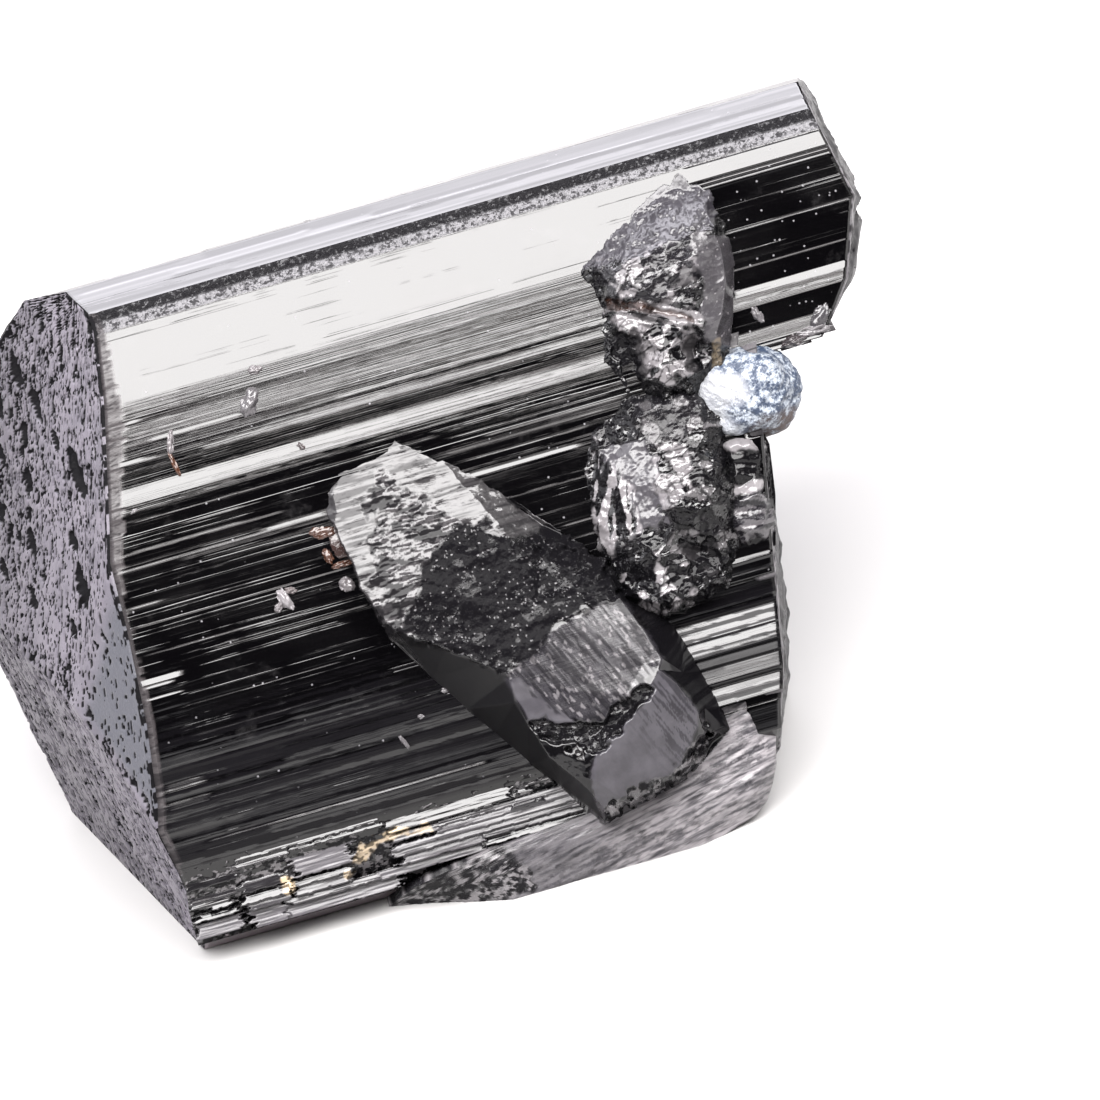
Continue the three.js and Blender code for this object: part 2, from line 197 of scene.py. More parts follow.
# %% Shell
def shell(name, points, quads, tris, marks):
    """One closed mesh from points in millimetres, four- and three-cornered faces, and named values per point."""
    fan = np.concatenate([tris, quads[:, [0, 1, 2]], quads[:, [0, 2, 3]]])
    a, b, c = points[fan[:, 0]], points[fan[:, 1]], points[fan[:, 2]]
    volume = (a * np.cross(b, c)).sum() / 6.0
    if volume < 0:
        quads, tris = quads[:, ::-1], tris[:, ::-1]
    corners = np.concatenate([quads.ravel(), tris.ravel()]).astype(np.int32)
    sizes = np.concatenate([np.full(len(quads), 4), np.full(len(tris), 3)])
    mesh = bpy.data.meshes.new(name)
    mesh.vertices.add(len(points))
    mesh.vertices.foreach_set("co", (points * MM).astype(np.float32).ravel())
    mesh.loops.add(len(corners))
    mesh.loops.foreach_set("vertex_index", corners)
    mesh.polygons.add(len(sizes))
    mesh.polygons.foreach_set("loop_start", (np.cumsum(sizes) - sizes).astype(np.int32))
    mesh.update(calc_edges=True)
    mesh.shade_smooth()
    for mark, values in marks.items():
        layer = mesh.attributes.new(mark, "FLOAT", "POINT")
        layer.data.foreach_set("value", values.astype(np.float32).ravel())
    piece = bpy.data.objects.new(name, mesh)
    bpy.context.collection.objects.link(piece)
    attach(piece, "root")
    print(f"{name}: {len(fan)} triangles, {abs(volume):.1f} cubic mm")
    return piece


print("shell is ready")

# %% Tubes and patches
def cell_quads(rows, cols):
    """The four corners of each cell of a rows by cols grid of numbered points."""
    i = np.arange((rows - 1) * cols).reshape(rows - 1, cols)[:, :-1].ravel()
    return np.stack([i, i + 1, i + cols + 1, i + cols], axis=1)


def tube(name, rings, marks=None):
    """Rings of points (rings, around, 3), closed around and shut by a middle point at each end."""
    count, around = rings.shape[:2]
    i = np.arange((count - 1) * around).reshape(count - 1, around)
    j = np.roll(i, -1, axis=1)
    quads = np.stack([i, j, j + around, i + around], axis=-1).reshape(-1, 4)
    first, last = np.arange(around), np.arange(around) + (count - 1) * around
    tip = np.full(around, count * around)
    tris = np.concatenate([np.stack([np.roll(first, -1), first, tip], axis=1),
                           np.stack([last, np.roll(last, -1), tip + 1], axis=1)])
    points = np.concatenate([rings.reshape(-1, 3), [rings[0].mean(0), rings[-1].mean(0)]])
    marks = {k: np.concatenate([v.ravel(), [v[0].mean(), v[-1].mean()]]) for k, v in (marks or {}).items()}
    return shell(name, points, quads, tris, marks)


def patches(name, parts):
    """Grids of points (rows, cols, 3), each with its rim joined to its own buried base point, as one mesh."""
    points, quads, tris, marks, start = [], [], [], {}, 0
    for grid, base, own in parts:
        rows, cols = grid.shape[:2]
        n = np.arange(rows * cols).reshape(rows, cols)
        rim = np.concatenate([n[0, :-1], n[:-1, -1], n[-1, :0:-1], n[:0:-1, 0]])
        quads.append(cell_quads(rows, cols) + start)
        tris.append(np.stack([np.roll(rim, -1), rim, np.full(len(rim), rows * cols)], axis=1) + start)
        points.append(np.concatenate([grid.reshape(-1, 3), [base]]))
        for key, values in own.items():
            marks.setdefault(key, []).append(np.concatenate([values.ravel(), [0.0]]))
        start += rows * cols + 1
    joined = {key: np.concatenate(values) for key, values in marks.items()}
    return shell(name, np.concatenate(points), np.concatenate(quads), np.concatenate(tris), joined)


def patch(name, grid, base, marks=None):
    """One grid closed by its buried base point."""
    return patches(name, [(grid, base, marks or {})])


print("tube and patch are ready")

# %% [markdown]
# ## Steady noise
# Broken stone, pits and scratches need randomness that is the same on every
# run. Whole numbers are scrambled into values from 0 to 1, and these are
# blended into soft noise, piled up into rough noise, or used to scatter
# centres, in the cell after this one.

# %% Blended noise
def scramble(i, j, seed):
    """Mixes two whole-number arrays and a seed by multiplying and shifting bits, giving values from 0 to 1."""
    i = np.asarray(i).astype(np.int64).astype(np.uint32)
    j = np.asarray(j).astype(np.int64).astype(np.uint32)
    h = i * np.uint32(374761393) + j * np.uint32(668265263) + np.uint32(seed * 40503 + 977)
    h = (h ^ (h >> np.uint32(13))) * np.uint32(1274126177)
    h = (h ^ (h >> np.uint32(15))) * np.uint32(2246822519)
    return (h ^ (h >> np.uint32(16))) / 4294967296.0


def soft_noise(u, v, seed):
    """Random values at whole steps of u and v, blended between them by 3t^2 - 2t^3, from -1 to 1."""
    i, j = np.floor(u), np.floor(v)
    a, b = u - i, v - j
    a, b = a * a * (3 - 2 * a), b * b * (3 - 2 * b)
    low = scramble(i, j, seed) * (1 - a) + scramble(i + 1, j, seed) * a
    high = scramble(i, j + 1, seed) * (1 - a) + scramble(i + 1, j + 1, seed) * a
    return (low * (1 - b) + high * b) * 2 - 1


def rough_noise(u, v, seed, layers=4):
    """Soft noise piled up, each layer twice as fine and about half as strong."""
    return sum(soft_noise(u * 2.03 ** k, v * 2.03 ** k, seed + k) * 0.55 ** k for k in range(layers))


print("one soft noise value:", soft_noise(np.array(3.2), np.array(1.7), 5).round(4))

# %% [markdown]
# ## Cells and broken stone
# A random centre in each unit cell gives pits, by how near the closest centre
# is, facets, by the highest of the centres' planes, and hollows, by the lowest
# of their bowls. Tourmaline breaks into such shell-like hollows.

# %% Cell noise
def ease(value, start, end):
    """0 before start, 1 after end, and 3t^2 - 2t^3 between them."""
    t = np.clip((value - start) / (end - start), 0, 1)
    return t * t * (3 - 2 * t)


def scattered(u, v, seed):
    """Distance to the nearest of one scattered centre per unit cell, and that centre's own random number."""
    i, j = np.floor(u), np.floor(v)
    best, label = np.full(np.shape(u), 9.0), np.zeros(np.shape(u))
    for di in (-1, 0, 1):
        for dj in (-1, 0, 1):
            x = i + di + scramble(i + di, j + dj, seed)
            y = j + dj + scramble(i + di, j + dj, seed + 1)
            far = np.hypot(u - x, v - y)
            label = np.where(far < best, scramble(i + di, j + dj, seed + 2), label)
            best = np.minimum(best, far)
    return best, label


def shards(u, v, seed, tilt):
    """Broken facets: the highest of the planes of the nearby centres, each lowered by its squared distance."""
    i, j = np.floor(u), np.floor(v)
    top = np.full(np.shape(u), -9.0)
    for di in (-1, 0, 1):
        for dj in (-1, 0, 1):
            x = u - (i + di + scramble(i + di, j + dj, seed))
            y = v - (j + dj + scramble(i + di, j + dj, seed + 1))
            lean_u = (scramble(i + di, j + dj, seed + 3) * 2 - 1) * tilt
            lean_v = (scramble(i + di, j + dj, seed + 4) * 2 - 1) * tilt
            lift = scramble(i + di, j + dj, seed + 2) * 0.8
            top = np.maximum(top, lift + x * lean_u + y * lean_v - 1.3 * (x * x + y * y))
    return top


def hollows(u, v, seed):
    """The lowest of the tilted bowls about scattered centres: tilt * x + tilt * y + 0.7 * distance^2.
    Also 1 along the ridges, where the two lowest bowls are about level, and the lowest bowl's random label."""
    u, v = u + 0.15 * soft_noise(u * 2.3, v * 2.3, seed + 7), v + 0.15 * soft_noise(u * 2.3, v * 2.3, seed + 8)
    i, j = np.floor(u), np.floor(v)
    low, second, label = np.full(np.shape(u), 9.0), np.full(np.shape(u), 9.0), np.zeros(np.shape(u))
    for di in (-1, 0, 1):
        for dj in (-1, 0, 1):
            p, q = i + di, j + dj
            x, y = u - p - scramble(p, q, seed), v - q - scramble(p, q, seed + 1)
            bowl = scramble(p, q, seed + 2) * 0.4 + 0.7 * (x * x + y * y)
            bowl = bowl + x * (2 * scramble(p, q, seed + 3) - 1) + y * (2 * scramble(p, q, seed + 4) - 1)
            second = np.where(bowl < low, low, np.minimum(second, bowl))
            label = np.where(bowl < low, scramble(p, q, seed + 5), label)
            low = np.minimum(low, bowl)
    return low, ease(low - second, -0.1, 0.0), label


def fractured(s, t, seed, sizes):
    """Hollows of several sizes piled up, each given as how long and high in steps, and how steep they get.
    The ridges are those of the two largest, and the label is an even mix of those two hollows' labels."""
    lift, ridges, labels = 0, 0, []
    for k, (wide, high, steep) in enumerate(sizes):
        low, ridge, label = hollows(s / wide, t / high, seed + 11 * k)
        lift = lift + steep * high * STEP * low
        ridges = np.maximum(ridges, ridge) if k < 2 else ridges
        labels.append(label)
    return lift, ridges, np.mean(labels[:2], axis=0)


print("one pit distance:", scattered(np.array(3.2), np.array(1.7), 5)[0].round(4))

# %% [markdown]
# ## The cross-section and the end planes
# Tourmaline's section is a rounded, bulging triangle. The front face's outline
# is given as depth behind a flat plane at each step down, and the back's as
# y and z. The ends are cut by planes: the left end is the pyramid, where the
# plane that reaches furthest right wins, and the right ends are broken.

# %% Section outline and end planes
FRONT = np.array([[-0.7, 2.1], [0, 1.5], [0.6, 1.15], [4.6, 0.35], [11.2, 0], [16.8, 0], [22.4, 0.25],
                  [26.9, 0.85], [30.8, 1.9], [33.0, 3.2], [34.8, 5.3], [35.45, 6.9]])
BACK = np.array([[16.6, 0], [18.7, 1.2], [20.2, 4.1], [20.4, 8.2], [14.3, 20.6], [7.8, 31.4], [3.15, HEIGHT]])
LEFT_PLANES = [(0.6, -0.265, -0.5), (-2.4, -0.035, -0.87), (-11.0, 0.24, -0.21), (-19.6, 0, 0.43)]
LOWER_RIGHT = [(37.5, -0.2, 0.06), (41.6, -0.34, 0.03), (48.5, -0.54, 0), (36.0, 0, -0.28), (66.5, -1.08, 0)]
UPPER_RIGHT = [(41.9, 0.2, 0.06), (44.4, -0.36, 0.1), (47.9, -0.75, 0.1), (44.6, 0.1, -0.2)]
SHOULDER_DOWN = 11.8
SHOULDER_HEIGHT = place(0, SHOULDER_DOWN, 0)[2]
FRONT_YZ = place(0, FRONT[:, 0], -FRONT[:, 1])[:, 1:]


def end_plane(planes, y, z, pick):
    """Where the end lies along the crystal: start + a * down + b * deep of each plane, and pick takes one."""
    down, deep = face_steps(y, z)
    return pick([start + a * down + b * deep for start, a, b in planes], axis=0)


def left_end(y, z):
    """The pyramid: the furthest right of its planes."""
    return end_plane(LEFT_PLANES, y, z, np.max)


def front_y(z):
    """The front outline's y at a height."""
    return np.interp(z, FRONT_YZ[::-1, 1], FRONT_YZ[::-1, 0])


def back_y(z):
    """The back outline's y at a height."""
    return np.interp(z, BACK[:, 1], BACK[:, 0])


print("shoulder at", round(float(SHOULDER_HEIGHT), 2), "mm, left edge at mid face:",
      left_end(*place(0, 19.0, 0)[1:]).round(2))

# %% [markdown]
# ## Striations
# The lines along a tourmaline are steps between two prism faces that took
# turns while the crystal grew. Each line is a flat strip with its own small
# tilt, so the relief is built from tilts, not heights: strips of random width
# get random tilts that change a few times along the crystal, the slopes are
# summed down the face, and a smoothed copy is taken away so that the face
# keeps its overall shape. A mirror-like strip then turns bright or black as
# its tilt passes the edge of the softbox, as on the real crystal.

# %% Strips of random tilt
STEP_ROW = 0.05


def strip_tilts(across, along, seed, width, breaks=3):
    """Random numbers on strips: the strip is found across, then the stretch of it along, edges wandering a little."""
    rng = np.random.default_rng(seed)
    span = across.max() - across.min() + 2
    widths = width * np.exp(rng.normal(0, 0.55, int(span / width * 1.8) + 8))
    edges = across.min() - 1 + np.cumsum(widths)
    wander = across[:, None] + 0.35 * width * soft_noise(along[None, :] / 9, across[:, None] / 0.9, seed)
    strip = np.searchsorted(edges, wander.ravel()).reshape(wander.shape).clip(0, len(edges) - 1)
    cuts = np.sort(rng.uniform(along.min() - 6, along.max() + 6, (len(edges), breaks)), axis=1)
    draws = rng.standard_t(4, (len(edges), breaks + 1)).clip(-4, 4)
    stretch = (along[None, :, None] > cuts[strip]).sum(-1)
    return draws[strip, stretch]


def settle(slopes, steps, window):
    """Heights from slopes: their running sum times the step, less its own mean over a window of rows."""
    height = np.cumsum(slopes * steps[:, None], axis=0)
    pad = np.concatenate([np.repeat(height[:1], window, 0), height, np.repeat(height[-1:], window, 0)])
    total = np.cumsum(pad, axis=0)
    mean = (total[2 * window:] - total[:-2 * window]) / (2 * window)
    return height - mean[:len(height)]


print("strips and their tilts are ready")

# %% [markdown]
# ## The face's own bands and lines
# Random strips alone look like any tourmaline. This one has a broad white band,
# combed grey, black and dim bands below it, and some single bright lines, and
# they are given: an average tilt and a spread at each step down the face.

# %% Bands and lines
STEP = 0.056
BLOCK_FROM = 610  # steps along, where the set-back face right of the stubs starts
BAND_AT = (0, 100, 200, 300, 450)
# Down the face in steps of 0.056 mm: the tilt in degrees at each BAND_AT step along, then the spread of tilts.
BANDS = np.array([
    (-13, *[40] * 5, 2.0), (0, *[31] * 5, 2.0), (9, *[28] * 5, 2.0), (11, *[11] * 5, 0.5), (82, *[11] * 5, 0.6),
    (84, 6, 6.5, 7, 7.5, 8, 1.0), (93, 6, 6.5, 7, 7.5, 8, 1.0), (94, 2, 4, 6.5, 7, 7.5, 2.0),
    (106, 2, 5, 6, 7, 7.5, 2.0), (112, 4, 6, 6, 7, 7.5, 2.0), (120, 1, 4.5, 5.5, 6.5, 7, 2.4),
    (135, 1, 3.5, 5.5, 6, 7, 2.4), (145, -1, 1, 4.5, 5, 6.5, 2.0), (150, -2, -1, 2, 3.5, 5, 1.8),
    (166, -2, -1, 1, 2, 3, 1.8), (168, 8, 8, 8, 8.5, 8, 2.2), (182, 8, 8, 8, 8.5, 8, 2.2),
    (184, -1, -1, -1, 0, 0, 2.0), (190, 2, 2, 1, 1, 2, 2.4), (196, -3, -3, -3, -2, 1, 1.8),
    (215, -4, -4, -4, -3, -1, 1.6), (300, *[-4] * 5, 1.5), (400, *[-5] * 5, 1.8), (438, *[-5] * 5, 4.2),
    (480, *[-6] * 5, 5.2), (505, *[-10] * 5, 4.2), (525, *[-8] * 5, 5.2), (550, *[-9] * 5, 5.5),
    (590, *[-31] * 5, 6.0), (640, *[-49] * 5, 4.0)])
# Single bright or dark lines: from and to down, from and to along, tilt.
LINES = [(246.5, 249.5, 300, 434, 13), (355, 360, -58, -10, 17), (362, 364, -58, -18, 15), (374, 376, -58, -12, 17),
         (462, 470, -66, -14, 12), (480, 488, -68, -14, 12), (526, 528.5, -40, 260, 13), (102, 104, -20, 20, 14),
         (124, 126, 20, 118, 13), (140, 142, -30, 14, 14), (214, 215, 30, 118, 6.0), (242, 243.4, 100, 175, 8.0),
         (244.5, 245.6, -50, 178, 5.5), (282, 283, -50, -8, 7.5), (302, 303, -52, 180, 5.0),
         (200, 201, -20, 300, 4.5), (228, 229, -30, 90, 5.0), (331, 332, -50, 95, 5.0),
         (343, 344, 20, 190, 4.8), (390, 391, -40, 150, 4.8), (408, 409, 10, 200, 5.5),
         (421, 422, -60, 120, 5.0), (448, 449.2, -30, 220, 7.0), (206, 207, 310, 480, 5.5),
         (213, 214.2, 340, 492, 8.5), (220, 221, 300, 470, 5.5), (232, 233, 320, 450, 5.5)]


def front_tilts(t, s):
    """The bands' tilts between their rows and columns, strips of random tilts in three widths, and single lines."""
    table = np.stack([np.interp(t, BANDS[:, 0], BANDS[:, k]) for k in range(1, 6)])
    column = np.interp(s, BAND_AT, np.arange(5))
    left = np.floor(column).astype(int).clip(0, 3)
    mean = table[left].T * (1 - (column - left)) + table[left + 1].T * (column - left)
    spread = np.interp(t, BANDS[:, 0], BANDS[:, 6])[:, None]
    tilt = mean + spread * (0.75 * strip_tilts(t, s, 11, 1.9, 1) + 0.35 * strip_tilts(t, s, 12, 5.0, 1)
                            + 0.2 * strip_tilts(t, s, 13, 16.0, 1))
    rare = strip_tilts(t, s, 15, 1.5, 3)
    tilt = tilt + 5.5 * ease(np.abs(rare), 3.5, 4.0) * (mean < 0)
    for top, bottom, start, end, angle in LINES:
        rows = ease(t, top - 0.6, top + 0.2) * (1 - ease(t, bottom - 0.2, bottom + 0.6))
        share = rows[:, None] * (ease(s, start, start + 8) * (1 - ease(s, end - 8, end)))[None, :]
        tilt = tilt * (1 - share) + angle * share
    return tilt


print("bands down the face:", len(BANDS), "and single lines:", len(LINES))

# %% [markdown]
# ## The front relief
# The tilts become slopes, the slopes are summed into heights, and right of the
# stubs two profiles of the set-back face take their place.

# %% Front relief
# Right of the stubs the face has profiles of its own: steps down, and how far out.
BLOCK_PROFILE = np.array([
    (10, -1.13), (28, -0.93), (29.5, -1.18), (31.5, -1.15), (33, -1.2), (36, -1.18), (39, -1.22), (84, -1.34),
    (85, -1.33), (122, -1.43), (123, -1.42), (143, -1.48), (149, -1.36), (163, -1.275), (164, -1.29), (185, -1.36),
    (187, -1.35), (200, -1.27), (203, -1.42), (210, -1.25)])
RIGHT_PROFILE = np.array([
    (382, -0.2), (402, -0.32), (403, -0.3), (407, -0.25), (408, -0.35), (424, -0.47), (427, -1.14), (452, -1.26),
    (453.5, -1.36), (472, -1.08), (473, -1.12), (489, -0.93), (491, -1.14), (499, -1.04), (501, -1.18),
    (515, -1.02), (520, -1.28), (537, -1.05), (539.5, -2.2), (574, -2.4), (600, -4.2), (621, -5.9), (633, -7.4)])
NOOK_OUT = -1.35


def face_out(t):
    """How far out the front outline lies at a step down."""
    return -np.interp(t * STEP, FRONT[:, 0], FRONT[:, 1])


def block_share(s, t):
    """0 left of the block and 1 on it; the step between them leans left as it goes down, under the upper stub."""
    return ease(s + 14 * ease(t, 90, 170), BLOCK_FROM - 4, BLOCK_FROM + 4)


def front_relief(down, along):
    """Heights from the tilts less the outline's own fall, summed down the face, less a 6 mm running mean.
    Right of the stubs, the profiles there take over from the bands, and keep the finest strips."""
    t, s = down / STEP, along / STEP
    steps, window = np.gradient(down), int(3.0 / abs(down[1] - down[0]))
    fall = np.gradient(face_out(t), down)[:, None]
    tilt = front_tilts(t, s)
    banded = 1 - ease(t, 535, 548)[:, None]
    slopes = np.tan(np.radians(tilt.clip(-60, 45))) * banded - fall * banded
    left = settle(slopes, steps, window)
    fine = settle(np.tan(np.radians(np.interp(t, [30, 40, 142, 146], [1.5, 0.8, 0.8, 1.5])[:, None]
                                    * strip_tilts(t, s, 16, 2.4, 1))), steps, window)
    nook = ease(t, 196, 200)[:, None] * (1 - ease(t, 284, 290))[:, None] * ease(s, 598, 606)[None, :]
    block = (np.interp(t, BLOCK_PROFILE[:, 0], BLOCK_PROFILE[:, 1]) - face_out(t))[:, None]
    step_back = (np.interp(t, RIGHT_PROFILE[:, 0], RIGHT_PROFILE[:, 1]) - face_out(t))[:, None]
    upper = (ease(t, 11, 12) * (1 - ease(t, 212, 214)))[:, None] * block_share(s[None, :], t[:, None])
    lower = ease(t, 380, 384)[:, None] * ease(s, 446, 474)[None, :]
    set_back = nook * (1 - upper) * (NOOK_OUT - face_out(t))[:, None]
    return left * (1 - upper - lower) * (1 - nook) + set_back + upper * (block + fine) + lower * (step_back + fine)


print("profile corners:", len(BLOCK_PROFILE) + len(RIGHT_PROFILE))

# %% [markdown]
# ## The prism
# The crystal is one solid, cut here into an upper and a lower length, because
# above the shoulder it runs on further to the right. Each is its section's
# outline carried from the left planes to the right planes, with the striation
# relief added straight out of the outline. The joint between the two runs
# level, in the same direction as the striations, and hides among them.

# %% Outline helpers
def stretch_between(points, spacing):
    """Points every spacing along a broken line, its corners kept."""
    parts = []
    for a, b, gap in zip(points[:-1], points[1:], spacing):
        count = max(2, int(np.ceil(np.linalg.norm(b - a) / gap)))
        parts.append(a + (b - a) * np.arange(count)[:, None] / count)
    return np.concatenate(parts)


def outward(outline):
    """Unit normals of a closed outline, square to the line through its neighbours, smoothed over three points."""
    ahead = np.roll(outline, -2, 0) - np.roll(outline, 2, 0)
    normal = np.stack([ahead[:, 1], -ahead[:, 0]], axis=1)
    return normal / np.linalg.norm(normal, axis=1, keepdims=True)


print("outline helpers are ready")

# %% [markdown]
# ## The prism's skin
# Each point of the skin gets its height and its marks here. Marks are named
# values from 0 to 1 that the finish reads later: where the grainy upper edge
# is, the bevel, the combed bands, the stripes of painted shade and the dusty
# block.

# %% Prism skin
# A narrow bevelled strip runs down the left edge of the face: steps down in mm, its width, and its slope.
STRIP_DOWN = [-0.5, 2.8, 5.4, 6.6, 8.4, 11.2, 12.9, 14.3, 15.4, 20.0, 30.0, 31.0]
STRIP_WIDE = [0.5, 0.7, 1.1, 1.1, 0.8, 0.8, 0.67, 0.4, 0.25, 0.3, 0.42, 0.0]
BEVEL = 0.30
# How strongly the finest lines comb a reflection, and how much painted shade darkens the stripes near the foot, by
# steps down.
COMB_DOWN = [-10, 8, 12, 80, 84, 150, 190, 215, 425, 445, 560]
COMB = [0.2, 0.2, 0.3, 0.3, 1, 1, 0.8, 0.4, 0.4, 0.8, 0.8]
DIM_DOWN = [380, 440, 500, 510, 524, 530, 545, 552]
DIM = [0, 0.8, 0.8, 0.35, 0.35, 0.8, 0.8, 0]


def prism(outline, front_rows, right_planes, columns, seed):
    """A closed outline carried along x. Rows on the front take their own relief, and the rest take striations."""
    y, z = outline.T
    normal = outward(outline)
    run = np.gradient(outline[:front_rows], axis=0)
    normal[:front_rows] = np.stack([run[:, 1], -run[:, 0]], axis=1) / np.linalg.norm(run, axis=1, keepdims=True)
    if (normal * (outline - outline.mean(0))).sum() < 0:
        normal = -normal
    buried = (np.abs(z - SHOULDER_HEIGHT) < 0.06) & (y > front_y(z) + 0.3) & (y < back_y(z) - 0.3)
    left = CORNER[0] + left_end(y, z) + 1.2 * buried
    right = CORNER[0] + end_plane(right_planes, y, z, np.min)
    share = np.linspace(0, 1, columns)
    x = left + (right - left) * share[:, None]
    along = x - CORNER[0]
    ruler = np.linspace(along.min(), along.max(), 4 * columns)
    walk = np.concatenate([[0], np.cumsum(np.linalg.norm(np.diff(outline, axis=0), axis=1))])
    tilts = 3.4 * strip_tilts(walk, ruler, seed, 0.35, 2) + 3.2 * strip_tilts(walk, ruler, seed + 1, 1.1, 2)
    high = settle(np.tan(np.radians(tilts)), np.gradient(walk), 10)
    down = face_steps(y, z)[0]
    high[:front_rows] = front_relief(down[:front_rows], ruler)
    cell = (along - ruler[0]) / (ruler[1] - ruler[0])
    base = np.floor(cell).astype(int).clip(0, len(ruler) - 2)
    part = cell - base
    rows = np.arange(len(y))[None, :]
    lift = high[rows, base] * (1 - part) + high[rows, base + 1] * part
    front = np.arange(len(y)) < front_rows
    strip = np.interp(down, STRIP_DOWN, STRIP_WIDE) * front
    strip = strip * (1 + 0.12 * soft_noise(down * 5, down * 0, 25))
    into = (strip - (x - left)).clip(0)
    lift = lift - BEVEL * into
    on_block = (along > BLOCK_FROM * STEP) & front
    comb = np.where(on_block, 0.35, np.interp(down / STEP, COMB_DOWN, COMB)) * np.where(front, 1, 0.6)
    t = down[:front_rows] / STEP
    # Stripes of painted shade near the foot: the finish mixes black over the gloss there.
    stripes = strip_tilts(t, np.linspace(0, 600, columns), 18, 2.6, 2).T
    dim = np.zeros(x.shape)
    dim[:, :front_rows] = ease(0.25 - stripes, 0.0, 0.3) * np.interp(t, DIM_DOWN, DIM)
    all_along = front * np.ones_like(x)
    grain = ease(down, -1.2, -0.8) * (1 - ease(down, 0.45, 0.6)) * all_along
    marks = {"bevel": ease(into, 0.0, 0.05), "comb": comb, "dim": dim, "low": ease(down, 33.6, 34.1) * all_along,
             "edge": grain * (1 - ease(down, -0.15, 0.0)), "grain": grain,
             "dusty": 0.05 + 0.3 * on_block}
    return x, normal, lift, marks


print("the skin has a bevel of", BEVEL, "to 1 down its left edge")

# %% [markdown]
# ## The two lengths
# The skin is closed into tubes. Their ends are turned in, so that the end
# pieces cover them.

# %% Prism lengths
TURN_IN, SINK = 0.5, 0.45


def carry(name, outline, front_rows, right_planes, columns, seed):
    """The tube of the lifted outline, with each end turned in 0.5 mm and sunk, so that the end pieces cover it.
    Right of the stubs the shoulder starts behind the set-back face."""
    x, normal, lift, marks = prism(outline, front_rows, right_planes, columns, seed)
    yz = outline + normal * lift[:, :, None]
    rings = np.concatenate([x[:, :, None], yz], axis=2)
    down, deep = face_steps(rings[..., 1], rings[..., 2])
    t, s = down / STEP, (rings[..., 0] - CORNER[0]) / STEP
    behind = -np.interp(t, BLOCK_PROFILE[:, 0], BLOCK_PROFILE[:, 1]) + 0.04 - deep
    at_shoulder = block_share(s, t) * ease(t, 150, 152) * (t < 260) * (np.arange(len(outline)) >= front_rows)
    rings -= (behind.clip(0) * at_shoulder)[..., None] * OUT
    rings[..., 2] = rings[..., 2].clip(0)
    first, last = rings[0].copy(), rings[-1].copy()
    first[:, 1:] -= normal * TURN_IN
    last[:, 1:] -= normal * TURN_IN
    first[:, 0] += SINK
    last[:, 0] -= SINK
    marks = {k: np.concatenate([v[:1], v, v[-1:]]) for k, v in marks.items()}
    return tube(name, np.concatenate([first[None], rings, last[None]]), marks)


def front_edge(start, end, spacing):
    """The front outline's points, as y and z, from a lower step down to a higher one."""
    down = np.arange(start, end, -spacing)
    return place(0, down, -np.interp(down, FRONT[:, 0], FRONT[:, 1]))[:, 1:]


SEAM = SHOULDER_DOWN + 0.05
shoulder_back = np.array([back_y(SHOULDER_HEIGHT), SHOULDER_HEIGHT])
front_rim = front_edge(SEAM, FRONT[0, 0], STEP_ROW)
rest_rim = stretch_between(np.array([FRONT_YZ[0], BACK[6], BACK[5], shoulder_back, front_rim[0]]),
                           [0.1, 0.2, 0.25, 0.9])
prism_upper = carry("prism_upper", np.concatenate([front_rim, rest_rim]), len(front_rim), UPPER_RIGHT, 205, 21)

front_rim = front_edge(FRONT[-1, 0], SEAM - 0.05, STEP_ROW * 1.08)
rest_rim = stretch_between(np.array([front_rim[-1], shoulder_back, *BACK[4::-1], front_rim[0]]),
                           [0.9, 0.3, 0.3, 0.3, 0.3, 0.3, 1.0])
prism_lower = carry("prism_lower", np.concatenate([front_rim, rest_rim[1:]]), len(front_rim), LOWER_RIGHT, 138, 31)

# %% [markdown]
# ## The ends
# The left end is a pyramid of four planes, dull and full of upright pits. The
# right ends are broken across, which leaves shell-like hollows. Each
# end is a relief over the section: one point for each height and each share
# of the way from the front outline to the back one, pushed out along the
# crystal. Its rim is folded inward, so that it lies under the prism's skin.

# %% End slab
SKIN = 0.04  # how far an end's rim lies inside the prism's outline
RIM_IN, RIM_SINK = 0.08, 0.9  # how far its outermost ring is then turned in and pushed back


